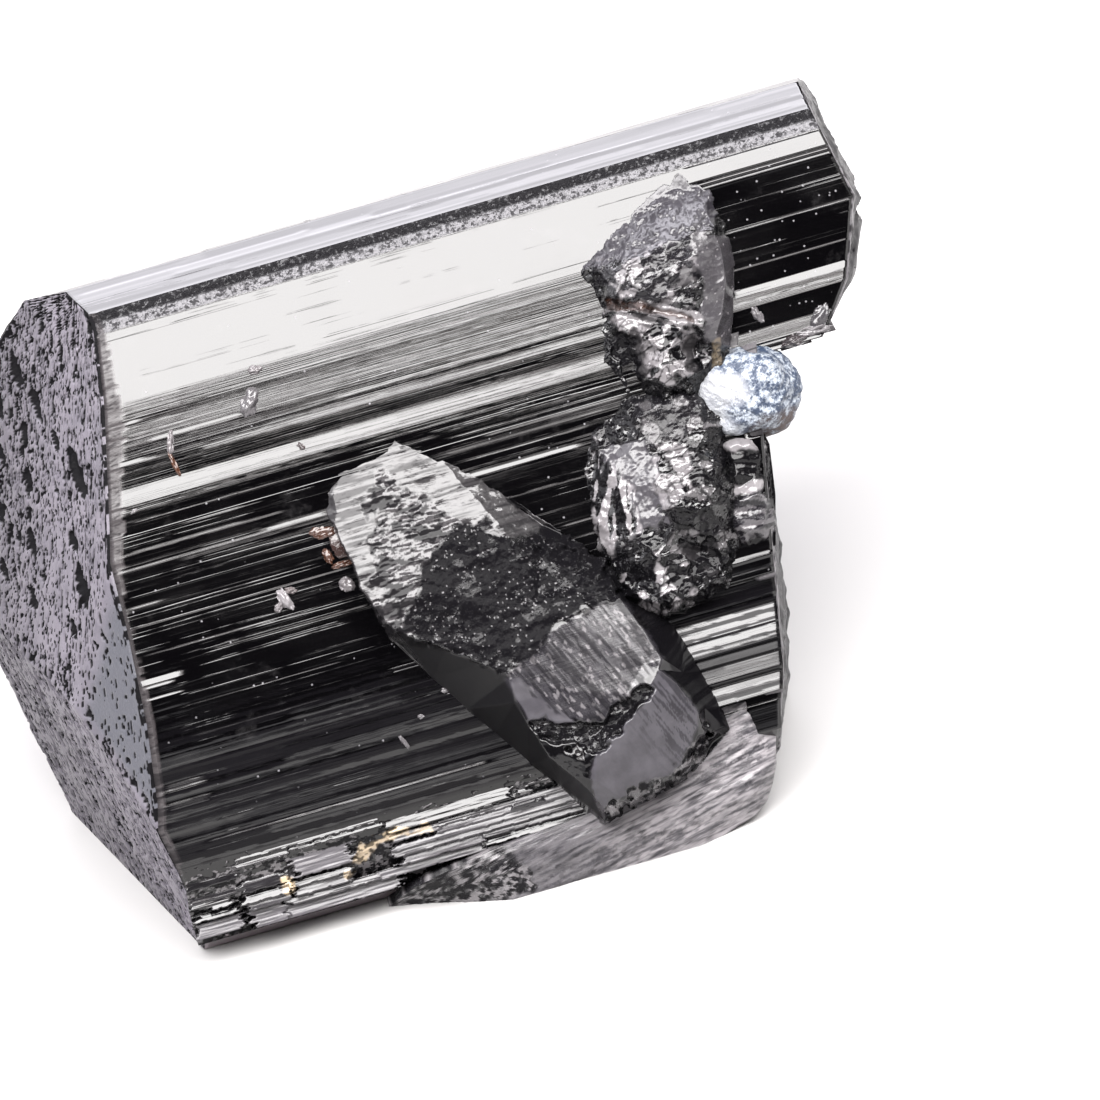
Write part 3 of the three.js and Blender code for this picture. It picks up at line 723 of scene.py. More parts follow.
def end_slab(name, bottom, top, spacing, columns, lean_to_front, planes, pick, side, relief, inset):
    """Grid over z and a share of the width; x = the end planes' x plus side * relief, side being -1 at the left.
    inset gives how far the front edge stays back, by steps down, where the prism's own edge is cut back."""
    z = np.linspace(bottom, top, int((top - bottom) / spacing))[:, None]
    share = (np.linspace(0, 1, columns) ** lean_to_front)[None, :]
    cut_back = inset(face_steps(front_y(z), z)[0])
    cut_back = inset(face_steps(front_y(z) + cut_back / math.cos(LEAN), z)[0])
    near, far = front_y(z) + SKIN + cut_back / math.cos(LEAN), back_y(z) - SKIN
    y = near + (far - near) * share
    z = np.broadcast_to(z, y.shape)
    lift, marks = relief(y, z)
    edge = np.minimum(np.minimum(share, 1 - share) * (far - near), np.minimum(z - bottom, top - z))
    x = CORNER[0] + end_plane(planes, y, z, pick) + side * lift * ease(edge, 0.0, 0.5)
    grid = np.stack([x, y, z], axis=-1)
    grid = np.pad(grid, ((1, 1), (1, 1), (0, 0)), mode="edge")
    middle = np.array([0, (near + far).mean() / 2, (bottom + top) / 2])
    for rim in (np.s_[0], np.s_[-1], np.s_[:, 0], np.s_[:, -1]):
        toward = middle - grid[rim]
        toward[..., 0] = 0
        length = np.linalg.norm(toward, axis=-1, keepdims=True)
        grid[rim] += RIM_IN * toward / length
        grid[rim][..., 0] -= side * RIM_SINK
    marks = {k: np.pad(v, 1, mode="edge") for k, v in marks.items()}
    base = grid.reshape(-1, 3).mean(0)
    base[0] = (grid[..., 0].max() + 6) if side < 0 else (grid[..., 0].min() - 6)
    return patch(name, grid, base, marks)


print("an end's rim is turned in by", RIM_IN, "mm")

# %% [markdown]
# ## What covers the ends
# The pyramid's relief is pits of three sizes in scattered cells, and a few
# large ones listed one by one. The broken ends are hollows of three sizes.

# %% End reliefs
# Larger upright pits of the pyramid: along, down and length in mm.
PITS = [(-3.4, 7.6, 3.4), (-4.9, 13.8, 3.0), (-4.7, 11.3, 1.4), (-5.4, 0.9, 2.6), (-4.7, 3.2, 2.4),
        (-4.1, 5.4, 1.4), (-6.3, 7.2, 1.6), (-7.2, 10.6, 1.8), (-6.1, 16.0, 1.2), (-7.9, 13.6, 1.5),
        (-5.9, 4.6, 1.6), (-6.9, 2.4, 2.2), (-8.6, 8.4, 2.0), (-9.2, 11.6, 1.5), (-7.6, 5.2, 1.6), (-5.6, 18, 1)]


def pyramid_relief(y, z):
    """Small upright pits in scattered cells, the larger pits by name, and a gentle swell; sunk parts are marked."""
    down, deep = face_steps(y, z)
    heights = np.array([start + a * down + b * deep for start, a, b in LEFT_PLANES])
    top_two = np.sort(heights, axis=0)
    plane = heights.argmax(0)
    smooth = (plane == 1) * ease(top_two[-1] - top_two[-2], 0.0, 0.6)
    sunk, crowd = np.zeros(y.shape), ease(soft_noise(deep / 3.0, down / 4.0, 47), -0.7, 0.8)
    crowd = np.maximum(crowd, 1.3 * (1 - ease(down, 2.0, 6.0)))
    behind = deep - np.interp(down, FRONT[:, 0], FRONT[:, 1]) - strip_inset(down)
    border = (1 - ease(behind, 0.1, 0.32)) * ease(rough_noise(down / 0.4, deep / 0.15, 49, 3), -0.1, 0.25)
    for seed, wide, tall, share in ((41, 0.26, 0.75, 0.4), (43, 0.17, 0.42, 0.55), (45, 0.4, 1.5, 0.2)):
        u = deep / wide + 0.35 * soft_noise(deep / 0.8, down / 0.7, seed)
        far, label = scattered(u, down / tall + 0.3 * soft_noise(deep / 0.5, down / 0.6, seed + 1), seed)
        held = label > 1 - share * (0.35 + 0.65 * crowd) * (1 - (0.95 if wide > 0.2 else 0.3) * smooth)
        size = 0.2 + 0.25 * label
        sunk = np.maximum(sunk, held * 1.2 * wide * ease(size - far, 0.0, 0.09))
    along = heights.max(0)
    for at, at_down, length in PITS:
        wide = 0.12 + 0.07 * length
        wobble = 0.3 * soft_noise(down * 2.1, deep * 1.3, 48)
        r = np.hypot((along - at) / wide + wobble, (down - at_down) / (0.5 * length))
        sunk = np.maximum(sunk, 0.45 * ease(1 - r, 0.0, 0.35) * (plane == 0))
    swell = 0.07 * rough_noise(deep / 2.2, down / 3.5, 50, 3) + 0.012 * rough_noise(deep / 0.2, down / 0.5, 52, 2)
    return swell * (1 - 0.6 * smooth) - sunk, {
        "pit": np.maximum(ease(sunk, 0.02, 0.12), border), "smooth": smooth * 1.0, "far": ease(deep, 5.0, 15.0)}


def broken_relief(y, z):
    """Shell-like hollows of three sizes, glassy and darkened inside with painted shade, and pale and dull within 1.5 mm
    of the front.
    """
    lift, _, label = fractured(y / STEP, z / STEP, 61, ((90, 60, 0.14), (32, 22, 0.2), (10, 8, 0.2)))
    down, deep = face_steps(y, z)
    rim = 1 - ease(deep - np.interp(down, FRONT[:, 0], FRONT[:, 1]) + 0.6 * rough_noise(y / 0.8, z / 0.8, 66), 1.8, 3.4)
    spots = ease(rough_noise(y / 0.5, z / 0.5, 65, 3), 0.22, 0.4)
    return (lift - 0.1) * (1 - 0.75 * rim) + 0.03 * rough_noise(y / 0.35, z / 0.35, 67), {
        "satin": 0.2 + 0.7 * rim, "grit": 0.25 + 0.3 * rim,
        "shade": rim * 0.8 * spots + (1 - rim) * (0.35 + 0.25 * (label < 0.4)),
        "pale": 0.3 * rim}


def strip_inset(down):
    """The depth that the bevelled strip takes off the left edge."""
    return BEVEL * np.interp(down, STRIP_DOWN, STRIP_WIDE) + 0.03


def profile_inset(profile):
    """How far a profile of the right part lies behind the outline, never less than nothing."""
    def inset(down):
        t = down / STEP
        back = face_out(t) - np.interp(t, profile[:, 0], profile[:, 1])
        return back.clip(0) * ease(t, profile[0, 0], profile[0, 0] + 2) + 0.08
    return inset


print("large pits:", len(PITS))

# %% The three ends
pyramid_end = end_slab("pyramid_end", 0.0, HEIGHT, 0.14, 205, 1.25, LEFT_PLANES, np.max, -1,
                       pyramid_relief, strip_inset)
upper_break = end_slab("upper_broken_end", SHOULDER_HEIGHT, HEIGHT, 0.12, 130, 1.0,
                       UPPER_RIGHT, np.min, 1, broken_relief, profile_inset(BLOCK_PROFILE))
lower_break = end_slab("lower_broken_end", 0.0, SHOULDER_HEIGHT, 0.2, 130, 1.0,
                       LOWER_RIGHT, np.min, 1, broken_relief, profile_inset(RIGHT_PROFILE))

# %% [markdown]
# ## Facet nets
# What grows out of the front face has flat faces of its own, so each growth
# starts as a net: a few dozen corners with a height above the face, joined by
# flat triangles, with the creases between its faces kept. The corners are
# surveyed in steps of 0.056 mm along and down the face. Zones are soft-edged
# patches on the same steps, which say where a surface is rough, satin or pale.

# %% Net and zone helpers
from mathutils import Vector
from mathutils.geometry import delaunay_2d_cdt

OFF_NET = -8.0


def net_height(corners, s, t):
    """Height on a net: the triangle that holds a point is found, and its corners' heights are weighted by area."""
    made = delaunay_2d_cdt([Vector(c[:2]) for c in corners], [], [], 0, 1e-4)
    spots = np.array([list(v) for v in made[0]])
    heights = np.array([corners[source[0]][2] if source else 0.0 for source in made[3]])
    out = np.full(s.shape, OFF_NET - 1.0)
    for face in made[2]:
        (ax, ay), (bx, by), (cx, cy) = spots[list(face)]
        area = (bx - ax) * (cy - ay) - (cx - ax) * (by - ay)
        if abs(area) < 1e-6:
            continue
        p = ((bx - s) * (cy - t) - (cx - s) * (by - t)) / area
        q = ((cx - s) * (ay - t) - (ax - s) * (cy - t)) / area
        inside = (p > -1e-6) & (q > -1e-6) & (p + q < 1 + 1e-6)
        level = heights[face[0]] * p + heights[face[1]] * q + heights[face[2]] * (1 - p - q)
        out = np.where(inside, np.maximum(out, level), out)
    return out


def warped_net(corners, s, t, by, size, seed):
    """A net's height at places moved up to about by steps by rough noise of a size, which bends its creases."""
    return net_height(corners, s + by * rough_noise(s / size, t / size, seed),
                      t + by * rough_noise(s / size, t / size, seed + 1))


def on_face(height, t):
    """A growth's height, never deeper than 1.3 mm under the face."""
    return np.maximum(height, face_out(t) - 1.3)


def inside_by(corners, s, t):
    """Signed distance to a closed outline in steps, positive inside, from the nearest edge and a crossing count."""
    far, crossed = np.full(s.shape, 1e9), np.zeros(s.shape, bool)
    for (ax, ay), (bx, by) in zip(corners, corners[1:] + corners[:1]):
        ex, ey = bx - ax, by - ay
        share = (((s - ax) * ex + (t - ay) * ey) / (ex * ex + ey * ey)).clip(0, 1)
        far = np.minimum(far, np.hypot(s - ax - share * ex, t - ay - share * ey))
        if ey:
            crossed ^= ((ay > t) != (by > t)) & (s < (t - ay) * ex / ey + ax)
    return np.where(crossed, far, -far)


def zone(corners, s, t, soft=5.0, ragged=4.0, seed=70):
    """1 inside an outline and 0 outside, eased over soft steps, with an edge that rough noise makes ragged."""
    edge = inside_by(corners, s, t) + ragged * rough_noise(s / 14, t / 14, seed, 3)
    return ease(edge, -soft / 2, soft / 2)


def growth(name, rows, left_edge, right_edge, columns, shape, root=2.2):
    """A patch between two edges given along at each row, with a wall that drops root mm below the face all round."""
    t = rows[:, None]
    a = np.interp(t, *np.array(left_edge).T[::-1])
    b = np.interp(t, *np.array(right_edge).T[::-1])
    s = a + (b - a) * np.linspace(0, 1, columns)[None, :]
    t = np.broadcast_to(t, s.shape)
    height, marks = shape(s, t)
    s, t, height = (np.pad(v, 1, mode="edge") for v in (s, t, height))
    for rim in (np.s_[0], np.s_[-1], np.s_[:, 0], np.s_[:, -1]):
        height[rim] = face_out(t[rim]) - root
    grid = place(s * STEP, t * STEP, height)
    grid[..., 2] = grid[..., 2].clip(0)
    middle = place(s.mean() * STEP, t.mean() * STEP, face_out(t.mean()) - 2 * root)
    middle[2] = max(middle[2], 0.0)
    return patch(name, grid, middle, {k: np.pad(v, 1, mode="edge") for k, v in marks.items()})


print("nets are surveyed in steps of", STEP, "mm")

# %% [markdown]
# ## The side crystal
# A smaller crystal leaves the face at a slant. The face swells up over its
# root in a ramp, its broken back is black and granular, and its lower end has
# the clean faces: a dark blade along the left, a lilac-grey striated face, a
# deep crack, and a smooth end face with a chipped rim. The black of the back,
# the blade and the crack is partly painted shade. Broken ground is made
# of shell-like hollows of several sizes that meet in sharp ridges, which is
# how tourmaline breaks. Every hollow has a label, a random number of its own,
# so that one flake can be painted white as a highlight and the next one black
# as shade.

# %% Side crystal net
SIDE_NET = [
    # the ramp's edge on the face
    (170, 232, -0.3), (172, 222, -0.15), (200, 208, -0.05), (235, 200, -0.05), (256, 190, -0.05), (292, 220, -0.05),
    (328, 252, -0.05), (352, 282, -0.05), (374, 314, -0.05),
    # the ramp
    (183, 228, 0.2), (175, 262, 0.65), (181, 300, 1.15), (185, 330, 1.45), (192, 352, 1.65), (203, 376, 1.8),
    (235, 222, 0.25), (262, 215, 0.3), (240, 262, 0.95), (278, 262, 0.62), (250, 300, 1.55), (292, 290, 1.15),
    (318, 268, 0.75), (335, 306, 1.5), (352, 302, 0.8), (225, 340, 1.9),
    # the broken back
    (262, 350, 2.2), (300, 330, 2.0), (340, 330, 2.0), (368, 345, 1.5), (300, 390, 2.5), (350, 385, 2.4),
    (400, 372, 1.7), (250, 408, 2.2), (392, 330, 0.3), (420, 360, 0.5),
    # upper edge of the blade and its crest
    (280, 432, 2.65), (302, 452, 2.9), (300, 478, 2.85), (306, 500, 2.75), (318, 540, 2.5), (336, 566, 2.45),
    (350, 590, 2.0), (353, 618, 0.7),
    # the striated face
    (322, 432, 2.9), (345, 424, 2.85), (375, 413, 2.7), (398, 402, 2.5), (430, 408, 2.35), (442, 440, 2.55),
    (452, 476, 2.68), (352, 480, 2.95), (352, 520, 2.9), (400, 505, 2.95), (410, 500, 2.95),
    (434, 477, 2.8), (436, 497, 3.18),
    # the crack and what lies below it
    (330, 512, 2.8), (352, 534, 2.8), (376, 530, 2.85), (402, 516, 2.9), (332, 540, 2.75), (350, 556, 2.85),
    # the end face
    (366, 546, 3.3), (396, 530, 3.4), (424, 512, 3.3), (446, 486, 3.05), (459, 504, 2.7), (472, 540, 1.9),
    (466, 560, 1.5), (442, 588, 1.2), (410, 594, 1.45), (376, 600, 1.55), (360, 610, 1.2), (356, 575, 2.75),
    # chipped rim and right flank
    (446, 594, 0.6), (412, 602, 0.7), (380, 610, 0.6), (474, 562, 0.7), (496, 560, -1.2), (497, 540, -1.3),
    (487, 500, -0.8), (478, 462, -0.5), (466, 434, -0.3), (436, 408, 0.0), (480, 535, 0.7), (470, 496, 1.4),
    # foot of the blade, all round
    (205, 392, -0.3), (226, 432, -0.5), (250, 472, -0.9), (272, 504, -1.4), (296, 544, -2.1), (318, 572, -2.7),
    (345, 618, -3.6), (196, 380, -0.2), (186, 345, -0.1), (180, 300, -0.1), (172, 262, -0.1),
    (358, 626, -3.4), (382, 616, -2.6), (414, 608, -2.4), (448, 600, -2.4), (478, 572, -2.2), (500, 564, -2.0),
]
print("side crystal corners:", len(SIDE_NET))

# %% [markdown]
# ## The side crystal's surface
# Each zone below is one kind of ground: the ramp, its torn part, the granular
# back, the striated face, the smooth slip beside it, the end face, the blade,
# the crack, the chipped rim and the right flank, painted black as shade.

# %% Side crystal
def side_crystal_shape(s, t):
    """The net's height, warped where it is broken, plus striations, hollows and a crack in their own zones."""
    ramp = zone([(160, 225), (200, 205), (235, 198), (258, 184), (300, 215), (385, 318), (345, 325), (318, 296),
                 (296, 292), (262, 318), (236, 350), (215, 384), (186, 384), (160, 300)], s, t, 5, 8, 71)
    grit = zone([(212, 372), (236, 345), (262, 314), (298, 292), (318, 298), (345, 322), (400, 330), (440, 400),
                 (395, 406), (372, 412), (345, 428), (300, 452), (250, 412)], s, t, 6, 8, 73)
    striated = zone([(302, 450), (345, 422), (432, 404), (454, 476), (424, 502), (376, 520), (340, 500)],
                    s, t, 5, 5, 75)
    smooth = zone([(296, 452), (312, 455), (352, 512), (345, 530), (310, 505)], s, t, 4, 1, 76)
    end = zone([(350, 570), (366, 546), (424, 512), (446, 484), (462, 502), (474, 545), (440, 590), (376, 600),
                (352, 618)], s, t, 4, 2, 77)
    blade = zone([(206, 376), (250, 410), (300, 450), (306, 500), (318, 540), (350, 585), (353, 618), (300, 545),
                  (226, 434)], s, t, 4, 1, 78)
    crack = zone([(308, 500), (330, 506), (352, 520), (376, 518), (402, 506), (426, 500), (424, 512), (396, 526),
                  (372, 540), (350, 546), (320, 530)], s, t, 6, 8, 79)
    rim = zone([(352, 606), (380, 598), (412, 593), (444, 586), (468, 560), (478, 545), (490, 560), (450, 600),
                (380, 614), (352, 626)], s, t, 4, 6, 80)
    torn = zone([(234, 214), (248, 230), (270, 256), (294, 282), (330, 296), (345, 312), (320, 330), (262, 344),
                 (218, 390), (186, 376), (196, 330), (206, 290), (216, 250)], s, t, 8, 12, 82)
    beyond = zone([(338, 250), (446, 370), (446, 420), (400, 404), (376, 330), (352, 306)], s, t, 4, 4, 84)
    flank = zone([(437, 400), (454, 470), (463, 502), (475, 542), (480, 560), (512, 580), (512, 500), (480, 420)],
                 s, t, 3, 1, 81)
    bent = np.maximum(grit, 0.35 * ramp) * 5 + crack * 4 + rim * 5
    base = warped_net(SIDE_NET, s, t, bent, 13, 68)
    turned, across = (s * 0.42 + t * 0.91), (s * 0.91 - t * 0.42)
    lines = rough_noise(s / 50, t / 2.7, 85, 2)
    fine = 0.012 * lines + 0.02 * rough_noise(s / 26, t / 5.5, 88, 2)
    flakes, tears, flake = fractured(s, t, 86, ((17, 6, 0.4), (8, 3.2, 0.3)))
    bits, _, bit = fractured(s, t, 87, ((16, 12, 0.16), (6, 4.5, 0.14), (2.8, 2.6, 0.08)))
    chips, _, chip = fractured(s, t, 97, ((12, 7, 0.5), (5, 3.4, 0.35)))
    lift = ramp * ((1 - torn) * fine + torn * flakes) + grit * bits
    lift = lift + (crack + rim) * chips - crack * 0.5 - rim * 0.2
    ridge = rough_noise(across / 2.6, turned / 30, 83, 3)
    lift = lift + striated * (0.008 * ridge + 0.010 * rough_noise(across / 7, turned / 18, 89, 2))
    lift = lift + end * (0.012 * rough_noise(s / 12, t / 12, 93)
                         + 0.004 * rough_noise(across / 2.2, turned / 30, 94, 2))
    lift = lift + blade * 0.010 * rough_noise(across / 9, turned / 40, 95)
    plain = (1 - ramp) * (1 - grit) * (1 - striated) * (1 - end) * (1 - blade) * (1 - smooth) * (1 - rim) * (1 - flank)
    lift = lift + plain * 0.02 * rough_noise(s / 8, t / 8, 99)
    far, label = scattered(s / 4.2, t / 3.6, 90)
    cluster = ease(rough_noise(s / 26, t / 20, 98, 3), -0.15, 0.3)
    spark = (far < 0.02 + 0.2 * label) * (label > 0.9 - 0.45 * cluster)
    flecks = ease(scattered(across / 2.4, turned / 5, 92)[1], 0.86, 0.93)
    scored = end * ease(rough_noise(across / 2.2, turned / 24, 96, 3), 0.0, 0.3) * ease(across, 130, 180)
    # Painted shade: black mixed over the gloss on the blade, the right flank, the plain face, the end face's lines, the
    # zone beyond the ramp, the granular back, the crack, and the darker lines and flakes.
    dark = np.maximum.reduce([
        0.6 * blade, 0.75 * flank, 0.3 * plain, 0.5 * scored, 0.8 * beyond * (1 - ramp),
        grit * (0.96 - 0.6 * spark - 0.2 * (bit > 0.74)), crack * (0.5 + 0.4 * (chip < 0.5)),
        ramp * (1 - torn) * (0.15 + 0.45 * ease(lines, -0.05, 0.35)),
        ramp * torn * np.maximum(0.25 + 0.55 * (flake < 0.5), 0.8 * tears),
        rim * (0.2 + 0.6 * (chip < 0.5)), striated * (0.2 + 0.45 * ease(ridge, 0.0, 0.3))])
    marks = {"satin": np.maximum(np.maximum(striated * 0.55, end), smooth) * (1 - crack) * (1 - rim),
             "grit": np.maximum(np.maximum(grit, crack), rim), "blade": blade, "shade": dark,
             # pale: painted highlights on the torn flakes, the rim's chips and the sparks in the grit, and pale flecks
             # on the striated face.
             "pale": ramp * (0.12 + 0.12 * torn * (flake > 0.6)) + 0.45 * striated * flecks + 0.4 * rim * (chip > 0.6)
             + 0.45 * grit * spark * (label > 0.8),
             "comb": ramp * (1 - torn) + 0.6 * striated + 0.3 * end}
    return on_face(base + lift * (base > OFF_NET), t), marks


side_crystal = growth("side_crystal", np.arange(184, 634, 1.3),
                      [(182, 184), (160, 225), (164, 300), (182, 380), (240, 480), (338, 634)],
                      [(280, 184), (330, 240), (385, 310), (440, 380), (475, 430), (505, 520), (508, 575), (470, 634)],
                      205, side_crystal_shape)

# %% [markdown]
# ## The upper stub
# A crystal broken off short. Its top slants back toward the light, ledges run
# across it, and a smooth rim is left at its right. Its broken ground is piled
# hollows, whose labels paint one flake white, as a highlight, and the next one
# black, as shade.

# %% Upper stub net
UPPER_NET = [
    (482, 84, -0.4), (488, 105, -0.3), (490, 125, -0.25), (488, 150, -0.15), (480, 180, -0.1), (487, 202, -0.05),
    (495, 224, -0.05), (520, 230, 0.2), (560, 230, 0.2), (590, 222, -0.1), (604, 196, -0.3), (616, 166, -0.5),
    (622, 145, -0.6), (632, 115, -0.7), (634, 90, -0.7), (632, 60, -0.8), (628, 40, -0.8), (614, 32, -0.9),
    (600, 14, -1.0), (590, 26, -0.9), (574, 36, -0.8), (540, 48, -0.7), (504, 66, -0.5),
    (500, 84, 0.5), (508, 76, 0.0), (540, 62, -0.1), (575, 52, -0.1), (604, 44, -0.2), (620, 50, -0.1),
    (520, 84, 1.2), (560, 80, 1.6), (598, 76, 1.7), (620, 78, 1.1),
    (502, 104, 1.2), (526, 104, 1.9), (560, 102, 2.0), (594, 100, 2.1), (622, 100, 1.2),
    (500, 122, 1.3), (530, 134, 1.95), (575, 156, 2.1), (585, 126, 2.2), (618, 132, 1.3), (504, 130, 0.8),
    (532, 143, 1.3), (574, 166, 1.5), (500, 150, 0.9), (508, 180, 0.4), (508, 210, 0.2), (522, 160, 1.5),
    (520, 206, 1.9), (545, 182, 2.1), (556, 212, 2.2), (566, 188, 0.9), (584, 176, 1.9), (594, 180, 1.4),
    (604, 165, 1.3), (586, 206, 0.8), (572, 212, 0.9), (590, 196, 1.0), (540, 222, 1.9),
]
print("upper stub corners:", len(UPPER_NET))

# %% Upper stub
def upper_stub_shape(s, t):
    """The warped net's height with broken hollows, slats across the ledges, hollows darkened with painted shade and a
    smoother rim.
    """
    slanted = zone([(470, 84), (500, 84), (560, 80), (596, 76), (622, 78), (640, 60), (640, 20), (560, 20),
                    (480, 60)], s, t, 5, 5, 101)
    rim = zone([(596, 84), (650, 80), (650, 140), (610, 200), (582, 190), (590, 140)], s, t, 6, 8, 102)
    bright = zone([(500, 126), (545, 138), (578, 160), (574, 200), (560, 214), (520, 210), (514, 160)],
                  s, t, 8, 12, 103)
    flash = zone([(503, 100), (515, 102), (528, 118), (510, 122)], s, t, 3, 4, 104)
    hollow = zone([(494, 152), (516, 160), (514, 228), (492, 228)], s, t, 5, 6, 108)
    hollow = np.maximum(hollow, zone([(556, 178), (574, 172), (572, 208), (558, 204)], s, t, 4, 5, 109))
    wedge = zone([(562, 124), (576, 104), (594, 108), (600, 122), (580, 128)], s, t, 3, 3, 111)
    stain = zone([(588, 188), (596, 186), (590, 218), (580, 216)], s, t, 3, 3, 112)
    slot = zone([(500, 118), (530, 128), (576, 156), (576, 162), (528, 138), (500, 126)], s, t, 2, 3, 113)
    glassy = zone([(496, 84), (596, 78), (590, 128), (560, 140), (500, 120)], s, t, 8, 8, 119)
    base = warped_net(UPPER_NET, s, t, 3 * (1 - rim), 11, 105)
    calm = (1 - 0.6 * rim) * (1 - 0.85 * slanted) * (1 - 0.9 * wedge)
    ledges = zone([(500, 126), (528, 122), (590, 150), (580, 172), (530, 156)], s, t, 4, 4, 114)
    bits, cracks, bit = fractured(s, t, 115, ((21, 14, 0.42), (8, 6, 0.32), (3.4, 3, 0.2)))
    slats, _, slat = fractured(s, t - 0.5 * s, 117, ((50, 7, 0.5), (20, 4, 0.3)))
    far, label = scattered(s / 4.2, t / 4.2, 120)
    spark = (far < 0.02 + 0.2 * label) * (label > 0.82 - 0.3 * soft_noise(s / 14, t / 14, 121))
    lift = calm * (1 - ledges) * bits - 0.35 * hollow - 0.25 * slot + ledges * slats
    lift = lift + slanted * (0.012 * rough_noise(s / 26, (t + 0.3 * s) / 4.5, 118, 3))
    white = np.maximum(bright * (bit > 0.36), ledges * (slat > 0.5))
    # pale is painted highlight on the white flakes, the flash, the glassy facets and the sparks; shade is painted shade
    # in the hollows, the wedge, the cracks and the darker flakes.
    marks = {"satin": np.maximum.reduce([slanted * 0.75, rim * 0.45, 0.3 * glassy]), "brown": 0.5 * slot,
             "grit": (calm * 0.5 * (1 - bright)).clip(0, 1), "cream": 0.35 * stain,
             "pale": np.maximum.reduce([0.55 * white, 0.8 * flash, 0.1 * rim + 0.5 * rim * spark,
                                        0.5 * glassy * (bit > 0.62), 0.4 * glassy * spark]),
             "shade": np.maximum.reduce([0.8 * hollow, 0.7 * wedge, 0.5 * calm * (1 - bright) * (bit < 0.45),
                                         0.7 * ledges * (slat < 0.35), 0.6 * bright * (bit < 0.3),
                                         0.9 * (1 - rim) * (1 - slanted) * (1 - ledges) * cracks]).clip(0, 1)}
    return on_face(base + lift * ease(base, -0.2, 0.5), t), marks


upper_stub = growth("upper_stub", np.arange(6, 240, 0.95),
                    [(560, 6), (490, 55), (474, 80), (480, 120), (472, 180), (486, 240)],
                    [(612, 6), (640, 60), (640, 110), (626, 160), (606, 215), (590, 240)],
                    165, upper_stub_shape)

# %% [markdown]
# ## The lower stub and its fragments
# A second broken crystal under the first, the roughest of all: glassy ribs at
# its left, granular lumps in the middle and broken facets below, made bright
# by painted highlights.
# Two loose-looking chunks are wedged between it and the crystal's right edge;
# they are nets of their own.

# %% Lower stub net
LOWER_NET = [
    (425, 300, -0.2), (432, 262, -0.1), (446, 240, -0.1), (470, 228, -0.1), (494, 218, 0.0), (530, 216, 0.1),
    (560, 218, 0.0), (584, 250, -0.4), (578, 292, -0.3), (574, 330, -0.2), (566, 370, -0.2), (552, 402, -0.3),
    (534, 428, -0.4), (510, 434, -0.5), (465, 440, -0.6), (440, 424, -0.5), (428, 404, -0.3), (420, 360, -0.1),
    (440, 280, 0.4), (438, 330, 0.8), (436, 350, 0.9), (452, 272, 0.8), (458, 300, 1.3), (464, 345, 1.6),
    (474, 250, 0.8), (500, 236, 1.3), (530, 230, 1.2), (558, 240, 0.9), (500, 262, 1.6), (530, 264, 1.5),
    (560, 270, 1.3), (476, 270, 1.4), (492, 300, 2.1), (490, 340, 2.1), (506, 276, 1.6), (518, 326, 2.75),
    (545, 285, 1.7), (540, 330, 2.5), (562, 305, 1.4), (566, 335, 0.9), (500, 352, 2.3), (530, 350, 2.3),
    (548, 360, 1.7), (450, 372, 1.3), (480, 376, 1.7), (506, 378, 1.2), (524, 392, 0.7), (540, 385, 1.3),
    (440, 392, 0.7), (470, 392, 1.6), (500, 398, 1.5), (450, 416, 1.0), (480, 426, 1.7), (505, 424, 1.3),
    (530, 412, 0.8), (545, 398, 0.8),
]
print("lower stub corners:", len(LOWER_NET))

# %% Lower stub
def lower_stub_shape(s, t):
    """The warped net's height with hollows, upright glassy ribs, a dull slab, a dip darkened with painted shade and a
    lower edge lightened with painted highlights.
    """
    ribs = zone([(428, 272), (446, 262), (468, 300), (470, 352), (425, 356)], s, t, 6, 6, 121)
    dull = zone([(455, 262), (495, 262), (498, 350), (462, 350)], s, t, 6, 8, 122)
    fine = zone([(490, 215), (566, 215), (570, 262), (500, 266)], s, t, 6, 6, 123)
    white = zone([(497, 272), (526, 272), (530, 322), (500, 330)], s, t, 8, 10, 124)
    gem = zone([(438, 388), (470, 382), (508, 400), (500, 432), (450, 428)], s, t, 8, 10, 125)
    hollow = zone([(505, 372), (537, 378), (536, 418), (508, 412)], s, t, 5, 6, 126)
    left = zone([(400, 225), (448, 225), (434, 262), (426, 330), (400, 340)], s, t, 6, 4, 127)
    base = warped_net(LOWER_NET, s, t, 3, 11, 128)
    calm = (1 - 0.75 * dull) * (1 - 0.5 * fine) * (1 - 0.45 * ribs)
    bits, cracks, bit = fractured(s, t, 131, ((24, 18, 0.42), (9, 7, 0.32), (3.6, 3.2, 0.2)))
    slats, _, slat = fractured(s + 0.3 * t, t, 133, ((8, 36, 0.12), (4, 15, 0.06)))
    lift = calm * bits - 0.3 * hollow + ribs * slats
    other = (1 - white) * (1 - gem) * (1 - dull) * (1 - ribs)
    # pale is painted highlight on the white, gem and rib flakes; shade is painted shade in the hollow, along the left
    # side, in the cracks and on the darker flakes.
    marks = {"satin": dull * 0.75 + fine * 0.25, "grit": np.maximum(calm * 0.45, fine * 0.7) * (1 - 0.5 * gem),
             "pale": np.maximum.reduce([0.5 * white * (bit > 0.35), 0.65 * gem * (bit > 0.5), 0.6 * ribs * (slat > 0.5),
                                        0.25 * other * (bit > 0.7), 0.04 * dull]),
             "shade": np.maximum.reduce([0.8 * hollow, 0.7 * left, 0.35 * fine, 0.6 * other * (bit < 0.5),
                                         0.75 * gem * (bit < 0.4), 0.7 * ribs * (slat < 0.4),
                                         0.85 * (1 - dull) * (1 - ribs) * cracks])}
    return on_face(base + lift * ease(base, -0.2, 0.5), t), marks


lower_stub = growth("lower_stub", np.arange(206, 448, 0.95),
                    [(488, 206), (430, 235), (412, 290), (408, 370), (430, 448)],
                    [(560, 206), (594, 250), (588, 300), (584, 350), (562, 410), (520, 448)],
                    168, lower_stub_shape)
